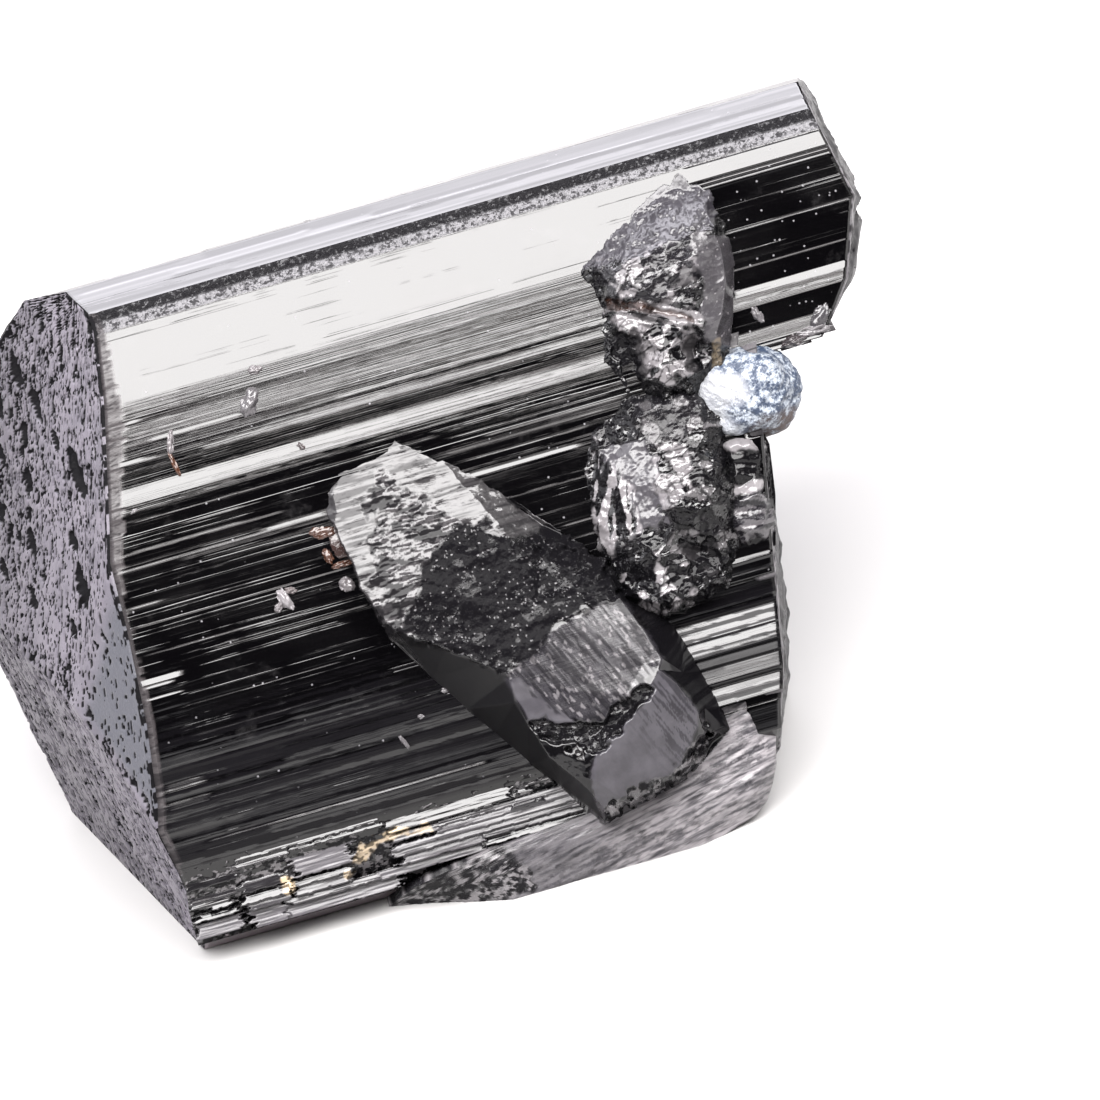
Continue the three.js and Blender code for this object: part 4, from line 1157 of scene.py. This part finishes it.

# %% Wedged chunks
# Corners of the two chunks: the facet above, which is painted dark as shade, and the grey one below.
CHUNK_NET = [
    (566, 282, -0.4), (590, 280, -0.5), (606, 286, -0.7), (612, 300, -0.9), (610, 322, -0.8), (600, 342, -0.7),
    (604, 356, -0.7), (600, 378, -0.6), (590, 392, -0.5), (566, 394, -0.3), (554, 380, -0.2), (552, 350, 0.0),
    (560, 330, 0.1), (566, 306, 0.0), (576, 292, 0.6), (596, 294, 0.4), (604, 310, 0.1), (592, 326, 0.3),
    (574, 322, 0.7), (574, 336, 0.4), (598, 336, 0.3), (570, 348, 0.9), (588, 346, 0.9), (596, 358, 0.3),
    (566, 376, 0.8), (586, 380, 0.5), (560, 360, 0.7),
]


def chunk_shape(s, t):
    """The chunks' net with long hollows, with painted highlights at the upper rim and on the lower chunk's top, and
    painted shade on the rest.
    """
    painted_glint = np.maximum(zone([(566, 282), (606, 284), (612, 302), (570, 298)], s, t, 4, 3, 136),
                       zone([(566, 330), (600, 332), (600, 342), (566, 342)], s, t, 3, 3, 137))
    grey = zone([(556, 342), (604, 342), (600, 385), (556, 390)], s, t, 4, 4, 138)
    base = warped_net(CHUNK_NET, s, t, 1.5, 9, 139)
    lift, _, bit = fractured(s, t - 0.25 * s, 143, ((24, 7, 0.3), (9, 3.4, 0.25)))
    marks = {"satin": grey * 0.4, "grit": np.full(s.shape, 0.25), "pale": 0.6 * painted_glint + 0.2 * grey * (bit > 0.5),
             "shade": 0.6 * (1 - painted_glint) * (1 - grey) + 0.4 * grey * (bit < 0.4)}
    return on_face(base + lift * ease(base, -0.7, 0.1), t), marks


chunks = growth("wedged_chunks", np.arange(276, 400, 1.2), [(558, 276), (548, 330), (546, 400)],
                [(612, 276), (616, 300), (608, 350), (594, 400)], 60, chunk_shape)

# %% [markdown]
# ## The foot
# Under the face the crystal ends in a mass of broken, pale grey tourmaline
# that reaches forward to the ground. It is a relief too, measured along and
# down, and its lower rows are laid flat on the ground.

# %% Foot
FOOT_EDGE = [(4.0, 35.4), (9.0, 36.3), (13.6, 37.5), (24.5, 37.5), (28.3, 37.0), (29.8, 35.9), (30.7, 34.0),
             (31.2, 31.6)]


def ground_out(down):
    """How far out the ground lies at a step down."""
    return -(CORNER[2] + down * DOWN[2]) / OUT[2]


def foot_shape(s, t):
    """A ridge from the face out to the lower edge: full height above, falling to the ground at the edge."""
    along, down = s * STEP, t * STEP
    edge = np.interp(along, [p[0] for p in FOOT_EDGE], [p[1] for p in FOOT_EDGE])
    crest = np.interp(along, [3.0, 9.8, 14.0, 29.2, 31.4], [-4.6, -1.95, -2.2, -2.2, -3.6])
    share = ((down - 30.4) / (edge - 30.4)).clip(0, 1.2)
    brow = 0.62
    fall = ease(share, brow, 1.15) * (crest - ground_out(edge))
    out = crest - 0.35 * share - fall
    chips = zone([(100, 606), (250, 600), (262, 664), (100, 674)], s, t, 8, 10, 145)
    slope = t + 0.18 * s
    slabs, _, _ = fractured(s, slope, 146, ((56, 9, 0.16), (18, 4, 0.13), (6, 2.6, 0.08)))
    bits, _, bit = fractured(s, t, 148, ((8, 5, 0.45), (3.8, 2.8, 0.3)))
    out = out + (1 - chips) * slabs + chips * bits
    streak = rough_noise(s / 20, slope / 2.4, 149, 4)
    fleck = scattered(s / 6, slope / 2.6, 150)[1]
    dark = 0.3 * (fleck < 0.12) + 0.15 * ease(-streak, 0.1, 0.4)
    light = (0.55 + 0.6 * streak + 0.5 * (fleck > 0.9)).clip(0, 1) * (0.3 + 0.6 * ease(s, 300, 400))
    # The chips' flakes get painted shade on their darker half and painted highlight on their palest ones.
    marks = {"satin": 0.85 - 0.6 * chips, "grit": 0.3 + 0.4 * chips, "comb": 0.8 * (1 - chips),
             "shade": (1 - chips) * dark + 0.75 * chips * (bit < 0.5),
             "pale": (1 - chips) * light + 0.5 * chips * (bit > 0.6)}
    return out, marks


foot_mass = growth("foot_mass", np.arange(541, 672, 1.1),
                   [(350, 541), (346, 606), (236, 614), (150, 630), (120, 642), (200, 672)],
                   [(560, 541), (548, 556), (545, 575), (540, 590), (535, 610), (525, 630), (515, 645), (500, 655),
                    (440, 672)], 240, foot_shape, root=5.0)

# %% [markdown]
# ## Ledges above the foot
# Left of the foot the face ends in a flight of long thin plates, one over the
# other. Each is a box with ragged ends, raised a little and tilted its own
# way, and the highest plate at a point is the one that shows. A plate that
# tilts more than six degrees toward the light is white, a level one is black,
# and a dull one is lilac.

# %% Ledge list
# From and to along, top and bottom down, height in mm, tilt in degrees, how dull.
LEDGES = [
    (-74, -14, 554, 572, 0.02, -3, 0.1), (-74, 36, 574, 586, 0.04, 2, 0.2), (-20, 38, 556, 563, 0.12, 9, 0.2),
    (-12, 141, 550, 556, 0.10, 12, 0.0), (40, 140, 557, 561, 0.22, 11, 0.0), (40, 102, 563, 588, 0.30, 1, 1.0),
    (-18, 32, 578, 589, 0.30, -2, 0.2), (-74, -26, 586, 591, 0.30, 10, 0.1), (-58, -26, 590, 596, 0.45, 14, 0.1),
    (-72, -28, 597, 605, 0.50, 20, 0.1), (-72, -22, 606, 622, 0.90, 4, 1.0), (-18, 28, 591, 600, 0.55, 16, 0.1),
    (28, 38, 588, 597, 0.70, 10, 0.2), (-14, 30, 600, 607, 0.8, 6, 0.6), (-16, 22, 607, 626, 1.15, 3, 0.9),
    (36, 96, 590, 597, 0.55, 12, 0.1), (34, 92, 597, 606, 0.8, 9, 0.4), (24, 120, 606, 613, 0.95, 12, 0.4),
    (22, 140, 613, 626, 1.1, 5, 0.9), (142, 272, 551, 571, 0.20, 11, 0.0), (268, 286, 560, 571, 0.14, 8, 0.2),
    (282, 330, 557, 563, 0.05, 8, 0.2), (186, 334, 571.5, 577.5, 0.34, 8, 0.5),
    (142, 190, 573, 581, 0.40, 5, 0.7), (186, 340, 577.5, 584, 0.44, 7, 0.6), (268, 300, 578, 582, 0.62, -3, 0.2),
    (140, 342, 584, 590, 0.54, 9, 0.6), (142, 345, 590, 596, 0.66, 10, 0.6), (146, 240, 596, 605, 0.78, 7, 0.8),
    (234, 348, 596, 602, 0.78, 9, 0.5), (230, 348, 602, 610.5, 0.92, 15, 0.1), (118, 232, 605, 614, 0.95, 5, 0.9),
    (230, 348, 611, 618, 1.15, 9, 0.6), (232, 300, 618, 625, 1.45, 9, 0.5),
]
print("plates:", len(LEDGES))

# %% Ledges
def ledge_shape(s, t):
    """The highest ragged plate at each point, or broken ground a little above the face where there is none, with
    painted shade on its darker flakes and painted highlight on its palest.
    """
    wobble_s, wobble_t = 7 * rough_noise(s / 9, t / 3, 161, 3), 0.5 * rough_noise(s / 7, t / 9, 163, 3)
    ground = face_out(t) + 0.03
    bits, _, bit = fractured(s, t, 165, ((8, 3.6, 0.35), (3.8, 2.4, 0.2)))
    out, satin, bare = ground + bits, np.zeros(s.shape), np.ones(s.shape)
    for number, (s0, s1, t0, t1, tall, tilt, dull) in enumerate(LEDGES):
        middle = (t0 + t1) / 2
        held = (s + wobble_s > s0) & (s + wobble_s < s1) & (t + wobble_t > t0) & (t + wobble_t < t1)
        plate = face_out(middle) + tall + (t - middle) * STEP * math.tan(math.radians(tilt))
        plate = plate + 0.012 * rough_noise(s / 40, t / 1.9, 170 + number, 3)
        higher = held & (plate > out)
        out = np.where(higher, plate, out)
        satin, bare = np.where(higher, dull, satin), np.where(higher, 0.0, bare)
    tan = zone([(90, 596), (96, 588), (120, 572), (155, 566), (185, 574), (185, 580), (140, 576), (112, 586)],
               s, t, 4, 6, 166)
    spots = zone([(26, 586), (38, 584), (38, 600), (26, 600)], s, t, 4, 4, 167)
    return out, {"satin": satin * 0.8, "grit": bare * 0.5, "comb": 0.6 * (1 - bare),
                 "pale": 0.15 * (1 - bare) * satin + 0.35 * bare * (bit > 0.65),
                 "cream": np.maximum(0.7 * tan, 0.8 * spots), "shade": 0.75 * bare * (bit < 0.5)}


ledges = growth("foot_ledges", np.arange(548, 628, 0.8), [(-66, 548), (-73, 590), (-75, 628)],
                [(340, 548), (350, 628)], 350, ledge_shape, root=1.2)

# %% [markdown]
# ## Chips and flakes
# Small crystals and flakes of other minerals are set into the black face. Each
# is a little relief of its own, a low dome broken into facets, and they are
# all one mesh. Iron has stained some of them brown.

# %% Chips
# Middle along and down, half sizes, slant, height in mm, how pale and how brown.
CHIPS = [
    (127, 117, 10, 14, -0.3, 0.42, 0.25, 0.0), (40, 134, 4.5, 12, -0.25, 0.25, 0.45, 0.1),
    (38, 155, 2.6, 14, 0.15, 0.16, 0.1, 1.0), (161, 262, 13, 7, 0.1, 0.12, 0.0, 0.7),
    (176, 276, 12, 17, 0.0, 0.10, 0.0, 0.35), (160, 286, 5, 9, 0.2, 0.20, 0.0, 0.9),
    (172, 298, 11, 4, 0.0, 0.16, 0.1, 0.9), (107, 316, 6, 13, 0.25, 0.35, 0.7, 0.0),
    (99, 322, 5, 5, -0.4, 0.25, 0.5, 0.1), (115, 309, 6, 4, 0.6, 0.22, 0.4, 0.3),
    (171, 319, 8, 8, 0.3, 0.28, 0.35, 0.1), (141, 87, 8, 5, 0.1, 0.25, 0.4, 0.1),
    (-14, 190, 4, 3, -0.6, 0.18, 0.5, 0.0), (165, 174, 4, 5, 0.3, 0.15, 0.1, 0.2),
    (640, 172, 6, 9, 0.2, 0.25, 0.3, 0.0), (236, 448, 5, 4, 0.4, 0.14, 0.3, 0.0),
    (205, 466, 4, 2.5, 0.2, 0.10, 0.3, 0.0), (182, 486, 3, 8, 0.4, 0.10, 0.25, 0.0),
    (252, 400, 2, 2, 0.0, 0.10, 0.3, 0.0), (690, 203, 18, 5, 0.2, 0.3, 0.35, 0.0),
    (668, 207, 14, 6, 0.2, 0.35, 0.05, 0.1), (699, 192, 11, 13, -0.5, 0.25, 0.08, 0.0)]


HIGHER_ROOT = 14  # steps; a chip at the block's lower edge has its root further up, inside the block


def chip(number, at_s, at_t, half_s, half_t, slant, tall, pale, brown):
    """A dome of height tall * (1 - r^2) with broken facets, on a slanted oval of the face, sunk at its rim."""
    u, v = np.meshgrid(np.linspace(-1.15, 1.15, 22), np.linspace(-1.15, 1.15, 22))
    r = np.hypot(u, v) + 0.16 * rough_noise(u * 2 + number, v * 2, 151, 3)
    s = at_s + half_s * u + slant * half_t * v
    t = at_t + half_t * v
    on_block = at_s > BLOCK_FROM + 4
    base = np.interp(t, BLOCK_PROFILE[:, 0], BLOCK_PROFILE[:, 1]) - 0.03 if on_block else face_out(t)
    top = tall * (1 - r * r) + 0.5 * tall * (shards(u * 2.2 + number * 7, v * 2.2, 153, 1.6) - 0.4)
    out = base + np.where(r < 1, top.clip(-0.15), -0.15 - 0.6 * ease(r, 1, 1.15))
    marks = {"satin": np.full(s.shape, 0.3), "grit": np.full(s.shape, 0.5), "pale": np.full(s.shape, pale),
             "brown": np.full(s.shape, brown)}
    buried = place(at_s * STEP, (at_t - HIGHER_ROOT * on_block) * STEP, base.mean() - 1.0)
    return place(s * STEP, t * STEP, out), buried, marks


surface_chips = patches("surface_chips", [chip(i, *numbers) for i, numbers in enumerate(CHIPS)])

# %% [markdown]
# ## The feldspar grain
# A knobbly grain, made as a ball whose radius swells and dips by sines, the
# same way as the solid's, and then by crumbly noise of its own.

# %% Feldspar grain
GRAIN_CENTRE, GRAIN_RADII, GRAIN_KNOBS = (33.9, 13.72, -1.5), (3.1, 2.66, 2.7), 0.07
turn_round = np.linspace(0, 2 * math.pi, 176, endpoint=False)[None, :]
tip_down = np.linspace(0.012, math.pi - 0.012, 88)[:, None]
gx, gy = np.sin(tip_down) * np.cos(turn_round), np.sin(tip_down) * np.sin(turn_round)
gz = np.broadcast_to(np.cos(tip_down), gx.shape)
crumb = 0.020 * rough_noise(gx * 6 + 9, gy * 6 + gz * 4, 141)
crumb = crumb + 0.035 * (shards(gx * 5, gy * 5 + gz * 3, 143, 1.5) - 0.5)
swell = 1 + GRAIN_KNOBS * (np.sin(5.1 * gx + 1.7) * np.sin(4.3 * gy + 0.4) + 0.85 * np.sin(6.7 * gz + gx)) + crumb
whiter = ease(-gx + 0.35 * soft_noise(gx * 3, gy * 3, 145), -0.05, 0.55)
rusty = ease(gy + 0.35 * gx + 0.2 * soft_noise(gx * 5, gy * 5, 146), 0.62, 0.9) * (1 - whiter)
feldspar = tube("feldspar_grain_crust", place(GRAIN_CENTRE[0] + gx * GRAIN_RADII[0] * swell,
                                              GRAIN_CENTRE[1] + gy * GRAIN_RADII[1] * swell,
                                              GRAIN_CENTRE[2] - gz * GRAIN_RADII[2] * swell),
                {"white": whiter, "rust": rusty})
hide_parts("feldspar_grain")

tourmaline_pieces = [prism_upper, prism_lower, pyramid_end, upper_break, lower_break, side_crystal, upper_stub,
                     lower_stub, chunks, foot_mass, ledges, surface_chips]

# %% [markdown]
# ## Finishes
# All the finishes are node trees that read Object coordinates, which here are
# metres in the crystal's own frame, and the marks that each piece carries.
# Three effects are shared and built once as groups: hairlines that run along
# the crystal, a broken crumb, and specks of dust.

# %% Node helpers
def put(tree, kind, sockets=None, **settings):
    """Adds a node, sets its properties, and fills its sockets with plain values or other nodes' outputs."""
    made = tree.nodes.new("ShaderNode" + kind)
    for name, value in settings.items():
        setattr(made, name, value)
    for name, value in (sockets or {}).items():
        if isinstance(value, bpy.types.NodeSocket):
            tree.links.new(value, made.inputs[name])
        else:
            made.inputs[name].default_value = value
    return made


def group(name, inputs, outputs):
    """An empty shader group with named number, colour or vector sockets, its input node and its output node."""
    tree = bpy.data.node_groups.new(name, "ShaderNodeTree")
    for label, kind in inputs:
        tree.interface.new_socket(name=label, in_out="INPUT", socket_type="NodeSocket" + kind)
    for label, kind in outputs:
        tree.interface.new_socket(name=label, in_out="OUTPUT", socket_type="NodeSocket" + kind)
    return tree, tree.nodes.new("NodeGroupInput"), tree.nodes.new("NodeGroupOutput")


def maths(tree, operation, a, b=0.0, clamp=False):
    """One Math node's output."""
    return put(tree, "Math", {0: a, 1: b}, operation=operation, use_clamp=clamp).outputs[0]


def blend(tree, share, a, b):
    """Colour a where share is 0 and colour b where it is 1."""
    made = put(tree, "Mix", {0: share}, data_type="RGBA")
    for socket, value in ((made.inputs[6], a), (made.inputs[7], b)):
        if isinstance(value, bpy.types.NodeSocket):
            tree.links.new(value, socket)
        else:
            socket.default_value = (*value, 1)
    return made.outputs[2]


def ramp_between(tree, value, start, end, low=0.0, high=1.0):
    """Maps value from start..end to low..high, held at both ends."""
    return put(tree, "MapRange", {0: value, 1: start, 2: end, 3: low, 4: high}, clamp=True).outputs[0]


# Hairlines: noise stretched along the crystal, so that it varies quickly across and slowly along.
hairlines, given, made = group("hairlines", [("Vector", "Vector"), ("Lines per metre", "Float")],
                               [("Height", "Float"), ("Worn", "Float")])
drawn = put(hairlines, "Mapping", {"Vector": given.outputs[0], "Scale": (0.006, 1, 1)})
fine = put(hairlines, "TexNoise", {"Vector": drawn.outputs[0], "Scale": given.outputs[1], "Detail": 2.0,
                                   "Roughness": 0.6})
slow = put(hairlines, "TexNoise", {"Vector": given.outputs[0], "Scale": 260.0, "Detail": 3.0})
hairlines.links.new(fine.outputs[0], made.inputs[0])
hairlines.links.new(ramp_between(hairlines, slow.outputs[0], 0.42, 0.62), made.inputs[1])

# Crumb: two sizes of cell noise, whose height breaks the surface and whose sparkle picks out single cells.
crumb_group, given, made = group("crumb", [("Vector", "Vector"), ("Cells per metre", "Float")],
                                 [("Height", "Float"), ("Sparkle", "Float")])
large = put(crumb_group, "TexVoronoi", {"Vector": given.outputs[0], "Scale": given.outputs[1]}, feature="F1")
double = maths(crumb_group, "MULTIPLY", given.outputs[1], 2.3)
small = put(crumb_group, "TexVoronoi", {"Vector": given.outputs[0], "Scale": double}, feature="F1")
total = maths(crumb_group, "ADD", large.outputs["Distance"], maths(crumb_group, "MULTIPLY",
                                                                    small.outputs["Distance"], 0.5))
crumb_group.links.new(total, made.inputs[0])
label = put(crumb_group, "SeparateColor", {0: small.outputs["Color"]})
crumb_group.links.new(ramp_between(crumb_group, label.outputs[0], 0.91, 0.94), made.inputs[1])

# Dust: a few cells in a hundred hold a speck, whose edge is a fixed distance from the cell's centre.
dust_group, given, made = group("dust", [("Vector", "Vector"), ("Share", "Float")], [("Speck", "Float")])
cells = put(dust_group, "TexVoronoi", {"Vector": given.outputs[0], "Scale": 2600.0}, feature="F1")
chosen = put(dust_group, "SeparateColor", {0: cells.outputs["Color"]})
held = maths(dust_group, "LESS_THAN", chosen.outputs[1], given.outputs[1])
near = ramp_between(dust_group, cells.outputs["Distance"], 0.1, 0.2, 1.0, 0.0)
dust_group.links.new(maths(dust_group, "MULTIPLY", held, near), made.inputs[0])
print("groups:", [g.name for g in bpy.data.node_groups])

# %% [markdown]
# ## Striated black faces
# Black tourmaline is nearly opaque and glassy. Its colour is almost nothing,
# and its gloss does the work: an index of 1.63, a little roughness, and
# hairline bumps finer than the modelled striations, which turn the edge of a
# reflection into the grey, combed bands seen on the real crystal.

# %% Striated prism finish
def finish(name):
    """A material with its tree, its shader, the Object coordinates, and a reader for marks."""
    material = bpy.data.materials.new(name)
    material.use_nodes = True
    tree = material.node_tree
    spot = put(tree, "TexCoord").outputs["Object"]

    def mark(label):
        return put(tree, "Attribute", attribute_name=label).outputs["Fac"]

    return material, tree, tree.nodes["Principled BSDF"], spot, mark


def use(tree, made, *values):
    """Places a shared group with its input values."""
    placed = put(tree, "Group", node_tree=made)
    for socket, value in zip(placed.inputs, values):
        if isinstance(value, bpy.types.NodeSocket):
            tree.links.new(value, socket)
        else:
            socket.default_value = value
    return placed.outputs


def bumpy(tree, shader, height, strength, distance, under=None):
    """Height feeds a Bump node, on top of another one if given."""
    made = put(tree, "Bump", {"Height": height, "Strength": strength, "Distance": distance})
    if under is not None:
        tree.links.new(under, made.inputs["Normal"])
    tree.links.new(made.outputs[0], shader.inputs["Normal"])
    return made.outputs[0]


def shaded(tree, shader, share):
    """Mixes the gloss with plain black by share: painted shade for seams, hollows and dark flakes, and painted darkness
    on faces too rough to mirror anything.
    """
    dark = put(tree, "BsdfDiffuse", {"Color": (0.004, 0.0037, 0.0045, 1)})
    mixed = put(tree, "MixShader", {0: share, 1: shader.outputs[0], 2: dark.outputs[0]})
    tree.links.new(mixed.outputs[0], tree.nodes["Material Output"].inputs["Surface"])


striated, tree, shader, spot, mark = finish("striated_black")
shader.inputs["IOR"].default_value = 1.63
lines, worn = use(tree, hairlines, spot, 15000.0)
broad_lines, patchy = use(tree, hairlines, spot, 5000.0)
speck = use(tree, dust_group, spot, mark("dusty"))[0]
crumbs, sparkle = use(tree, crumb_group, spot, 9000.0)
grain, bevel, comb, edge = mark("grain"), mark("bevel"), mark("comb"), mark("edge")
dull = maths(tree, "MAXIMUM", bevel, mark("low"))
# Painted glints: single crumb cells in the grainy edge lighten the colour, and they join the dust specks.
painted_glint = maths(tree, "MULTIPLY", maths(tree, "MULTIPLY", sparkle, grain), 0.8)
dusty = maths(tree, "MAXIMUM", speck, painted_glint)
colour = blend(tree, dusty, (0.0007, 0.0006, 0.0008), (0.10, 0.098, 0.105))
pale_grain = maths(tree, "SUBTRACT", grain, edge, True)
colour = blend(tree, maths(tree, "MULTIPLY", pale_grain, ramp_between(tree, crumbs, 0.3, 0.8)), colour,
               (0.12, 0.117, 0.125))
haze = put(tree, "TexNoise", {"Vector": spot, "Scale": 330.0, "Detail": 8.0, "Roughness": 0.72}).outputs[0]
colour = blend(tree, ramp_between(tree, haze, 0.58, 0.72, 0.0, 0.5), colour, (0.022, 0.021, 0.022))
strip = maths(tree, "MULTIPLY", dull, ramp_between(tree, broad_lines, 0.3, 0.6, 0.35, 1.0))
colour = blend(tree, strip, colour, (0.085, 0.075, 0.078))
# Painted light: the low strip along the underside, which faces the floor's shade, is given a light pinkish grey.
colour = blend(tree, mark("low"), colour, (0.2, 0.17, 0.185))
tree.links.new(colour, shader.inputs["Base Color"])
rough = maths(tree, "ADD", maths(tree, "MULTIPLY", worn, 0.06), 0.07)
rough = maths(tree, "ADD", rough, maths(tree, "MULTIPLY", maths(tree, "MAXIMUM", pale_grain, dull), 0.25))
tree.links.new(maths(tree, "ADD", rough, maths(tree, "MULTIPLY", dusty, 0.4), True), shader.inputs["Roughness"])
first = bumpy(tree, shader, maths(tree, "MULTIPLY", lines, comb), 1.0, 0.000011)
grooves = ramp_between(tree, broad_lines, 0.63, 0.69)
second = bumpy(tree, shader, maths(tree, "MULTIPLY", grooves, patchy), 0.7, 0.000015, first)
bumpy(tree, shader, maths(tree, "MULTIPLY", crumbs, grain), 0.8, 0.00008, second)
fleck = put(tree, "TexNoise", {"Vector": spot, "Scale": 3400.0, "Detail": 4.0, "Roughness": 0.7}).outputs[0]
black_flecks = maths(tree, "MULTIPLY", grain, ramp_between(tree, fleck, 0.5, 0.56, 0.0, 0.8))
ragged_edge = maths(tree, "MULTIPLY", edge, ramp_between(tree, fleck, 0.36, 0.46, 0.1, 0.9))
ragged_edge = maths(tree, "MAXIMUM", ragged_edge, black_flecks)
# Painted shade: black mixed over the bevel along the broader lines, and over the stripes near the foot.
combed_bevel = maths(tree, "MULTIPLY", bevel, ramp_between(tree, broad_lines, 0.35, 0.65, 0.2, 0.8))
shaded(tree, shader, maths(tree, "MAXIMUM", maths(tree, "MAXIMUM", ragged_edge, combed_bevel), mark("dim")))

# %% [markdown]
# ## The dull pitted end
# The pyramid's faces are etched, so they scatter light: a grey-lilac colour,
# about half rough, with the pits black inside because little light gets back
# out of them. The one smoother plane is bluer and shinier.

# %% Pitted end finish
pitted, tree, shader, spot, mark = finish("pitted_end")
shader.inputs["IOR"].default_value = 1.6
crumbs, sparkle = use(tree, crumb_group, spot, 5200.0)
cloud = put(tree, "TexNoise", {"Vector": spot, "Scale": 420.0, "Detail": 5.0, "Roughness": 0.65}).outputs[0]
tone = blend(tree, ramp_between(tree, cloud, 0.35, 0.7), (0.075, 0.068, 0.085), (0.125, 0.112, 0.135))
tone = blend(tree, mark("smooth"), tone, (0.055, 0.056, 0.068))
# Painted shade: the colour grows darker towards the back of the pyramid.
tone = blend(tree, maths(tree, "MULTIPLY", mark("far"), 0.45), tone, (0.02, 0.018, 0.022))
upright = put(tree, "Mapping", {"Vector": spot, "Scale": (1, 1, 0.36)}).outputs[0]
tiny = put(tree, "TexVoronoi", {"Vector": upright, "Scale": 5200.0}, feature="F1")
kept = put(tree, "SeparateColor", {0: tiny.outputs["Color"]}).outputs[0]
width = ramp_between(tree, maths(tree, "ADD", kept, maths(tree, "MULTIPLY", cloud, 0.9)), 0.7, 1.3, 0.0, 0.42)
width = maths(tree, "MULTIPLY", width, ramp_between(tree, mark("smooth"), 0.0, 1.0, 1.0, 0.45))
hole = ramp_between(tree, maths(tree, "SUBTRACT", width, tiny.outputs["Distance"]), 0.0, 0.08)
tone = blend(tree, hole, tone, (0.003, 0.003, 0.0035))
pit = ramp_between(tree, mark("pit"), 0.15, 0.5)
tone = blend(tree, pit, tone, (0.002, 0.002, 0.0022))
tree.links.new(tone, shader.inputs["Base Color"])
tree.links.new(ramp_between(tree, mark("smooth"), 0.0, 1.0, 0.5, 0.36), shader.inputs["Roughness"])
first = bumpy(tree, shader, crumbs, 0.35, 0.00004)
bumpy(tree, shader, maths(tree, "MULTIPLY", hole, -1.0), 0.8, 0.00005, first)
shaded(tree, shader, maths(tree, "MULTIPLY", maths(tree, "MAXIMUM", hole, pit), 0.9))

# %% [markdown]
# ## Broken, satin and granular faces
# One finish serves what grew out of the face and what is broken off. Its marks
# blend from glassy black to satin lilac-grey, add grit with painted sparkle,
# lighten the pale places, part of which are painted highlights, and mix in
# black by the shade mark as painted shade.

# %% Broken crystal finish
broken, tree, shader, spot, mark = finish("broken_crystal")
shader.inputs["IOR"].default_value = 1.63
crumbs, sparkle = use(tree, crumb_group, spot, 7000.0)
lines, worn = use(tree, hairlines, spot, 13000.0)
cloud = put(tree, "TexNoise", {"Vector": spot, "Scale": 900.0, "Detail": 5.0, "Roughness": 0.65}).outputs[0]
satin, grit, pale, brown, comb = (mark(label) for label in ("satin", "grit", "pale", "brown", "comb"))
grey = blend(tree, ramp_between(tree, cloud, 0.35, 0.68), (0.020, 0.018, 0.023), (0.042, 0.039, 0.047))
colour = blend(tree, satin, (0.0016, 0.0015, 0.0018), grey)
# The pale mark lightens the colour: partly pale chips and flakes, partly painted highlights on flakes and facets.
colour = blend(tree, pale, colour, (0.24, 0.225, 0.235))
colour = blend(tree, brown, colour, (0.045, 0.016, 0.007))
colour = blend(tree, mark("cream"), colour, (0.42, 0.33, 0.22))
# Painted glints: single crumb cells in the grit are lightened.
painted_glint = maths(tree, "MULTIPLY", maths(tree, "MULTIPLY", sparkle, grit), 0.4)
colour = blend(tree, painted_glint, colour, (0.25, 0.25, 0.26))
tree.links.new(colour, shader.inputs["Base Color"])
rough = maths(tree, "ADD", maths(tree, "MULTIPLY", maths(tree, "MAXIMUM", satin, mark("blade")), 0.26), 0.1)
tree.links.new(maths(tree, "ADD", rough, maths(tree, "MULTIPLY", grit, 0.06), True), shader.inputs["Roughness"])
first = bumpy(tree, shader, maths(tree, "MULTIPLY", lines, comb), 1.0, 0.000013)
bumpy(tree, shader, maths(tree, "MULTIPLY", crumbs, grit), 0.5, 0.00003, first)
# The shade mark mixes in black: painted shade in hollows, cracks and darker flakes.
shaded(tree, shader, mark("shade"))

# %% [markdown]
# ## Feldspar
# Blue-white, granular and dull, whiter at its left and stained brown at the
# lower rim.

# %% Feldspar finish
crust, tree, shader, spot, mark = finish("blue_white_feldspar")
crumbs, sparkle = use(tree, crumb_group, spot, 4200.0)
cloud = put(tree, "TexNoise", {"Vector": spot, "Scale": 2300.0, "Detail": 4.0, "Roughness": 0.75}).outputs[0]
cleared = ramp_between(tree, cloud, 0.45, 0.6)
blue = blend(tree, cleared, (0.02, 0.032, 0.06), (0.30, 0.33, 0.37))
blue = blend(tree, maths(tree, "MULTIPLY", mark("white"), 0.85), blue, (0.29, 0.295, 0.31))
rust_spots = maths(tree, "MULTIPLY", mark("rust"), ramp_between(tree, cloud, 0.62, 0.45))
blue = blend(tree, rust_spots, blue, (0.05, 0.035, 0.032))
tree.links.new(blue, shader.inputs["Base Color"])
shader.inputs["Roughness"].default_value = 0.5
bumpy(tree, shader, crumbs, 0.5, 0.00012)

finishes = [(striated, [prism_upper, prism_lower]), (pitted, [pyramid_end]), (crust, [feldspar]),
            (broken, [upper_break, lower_break, side_crystal, upper_stub, lower_stub, chunks,
                      foot_mass, ledges, surface_chips])]
for material, pieces in finishes:
    for piece in pieces:
        piece.data.materials.append(material)
for piece in tourmaline_pieces:
    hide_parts("tourmaline")
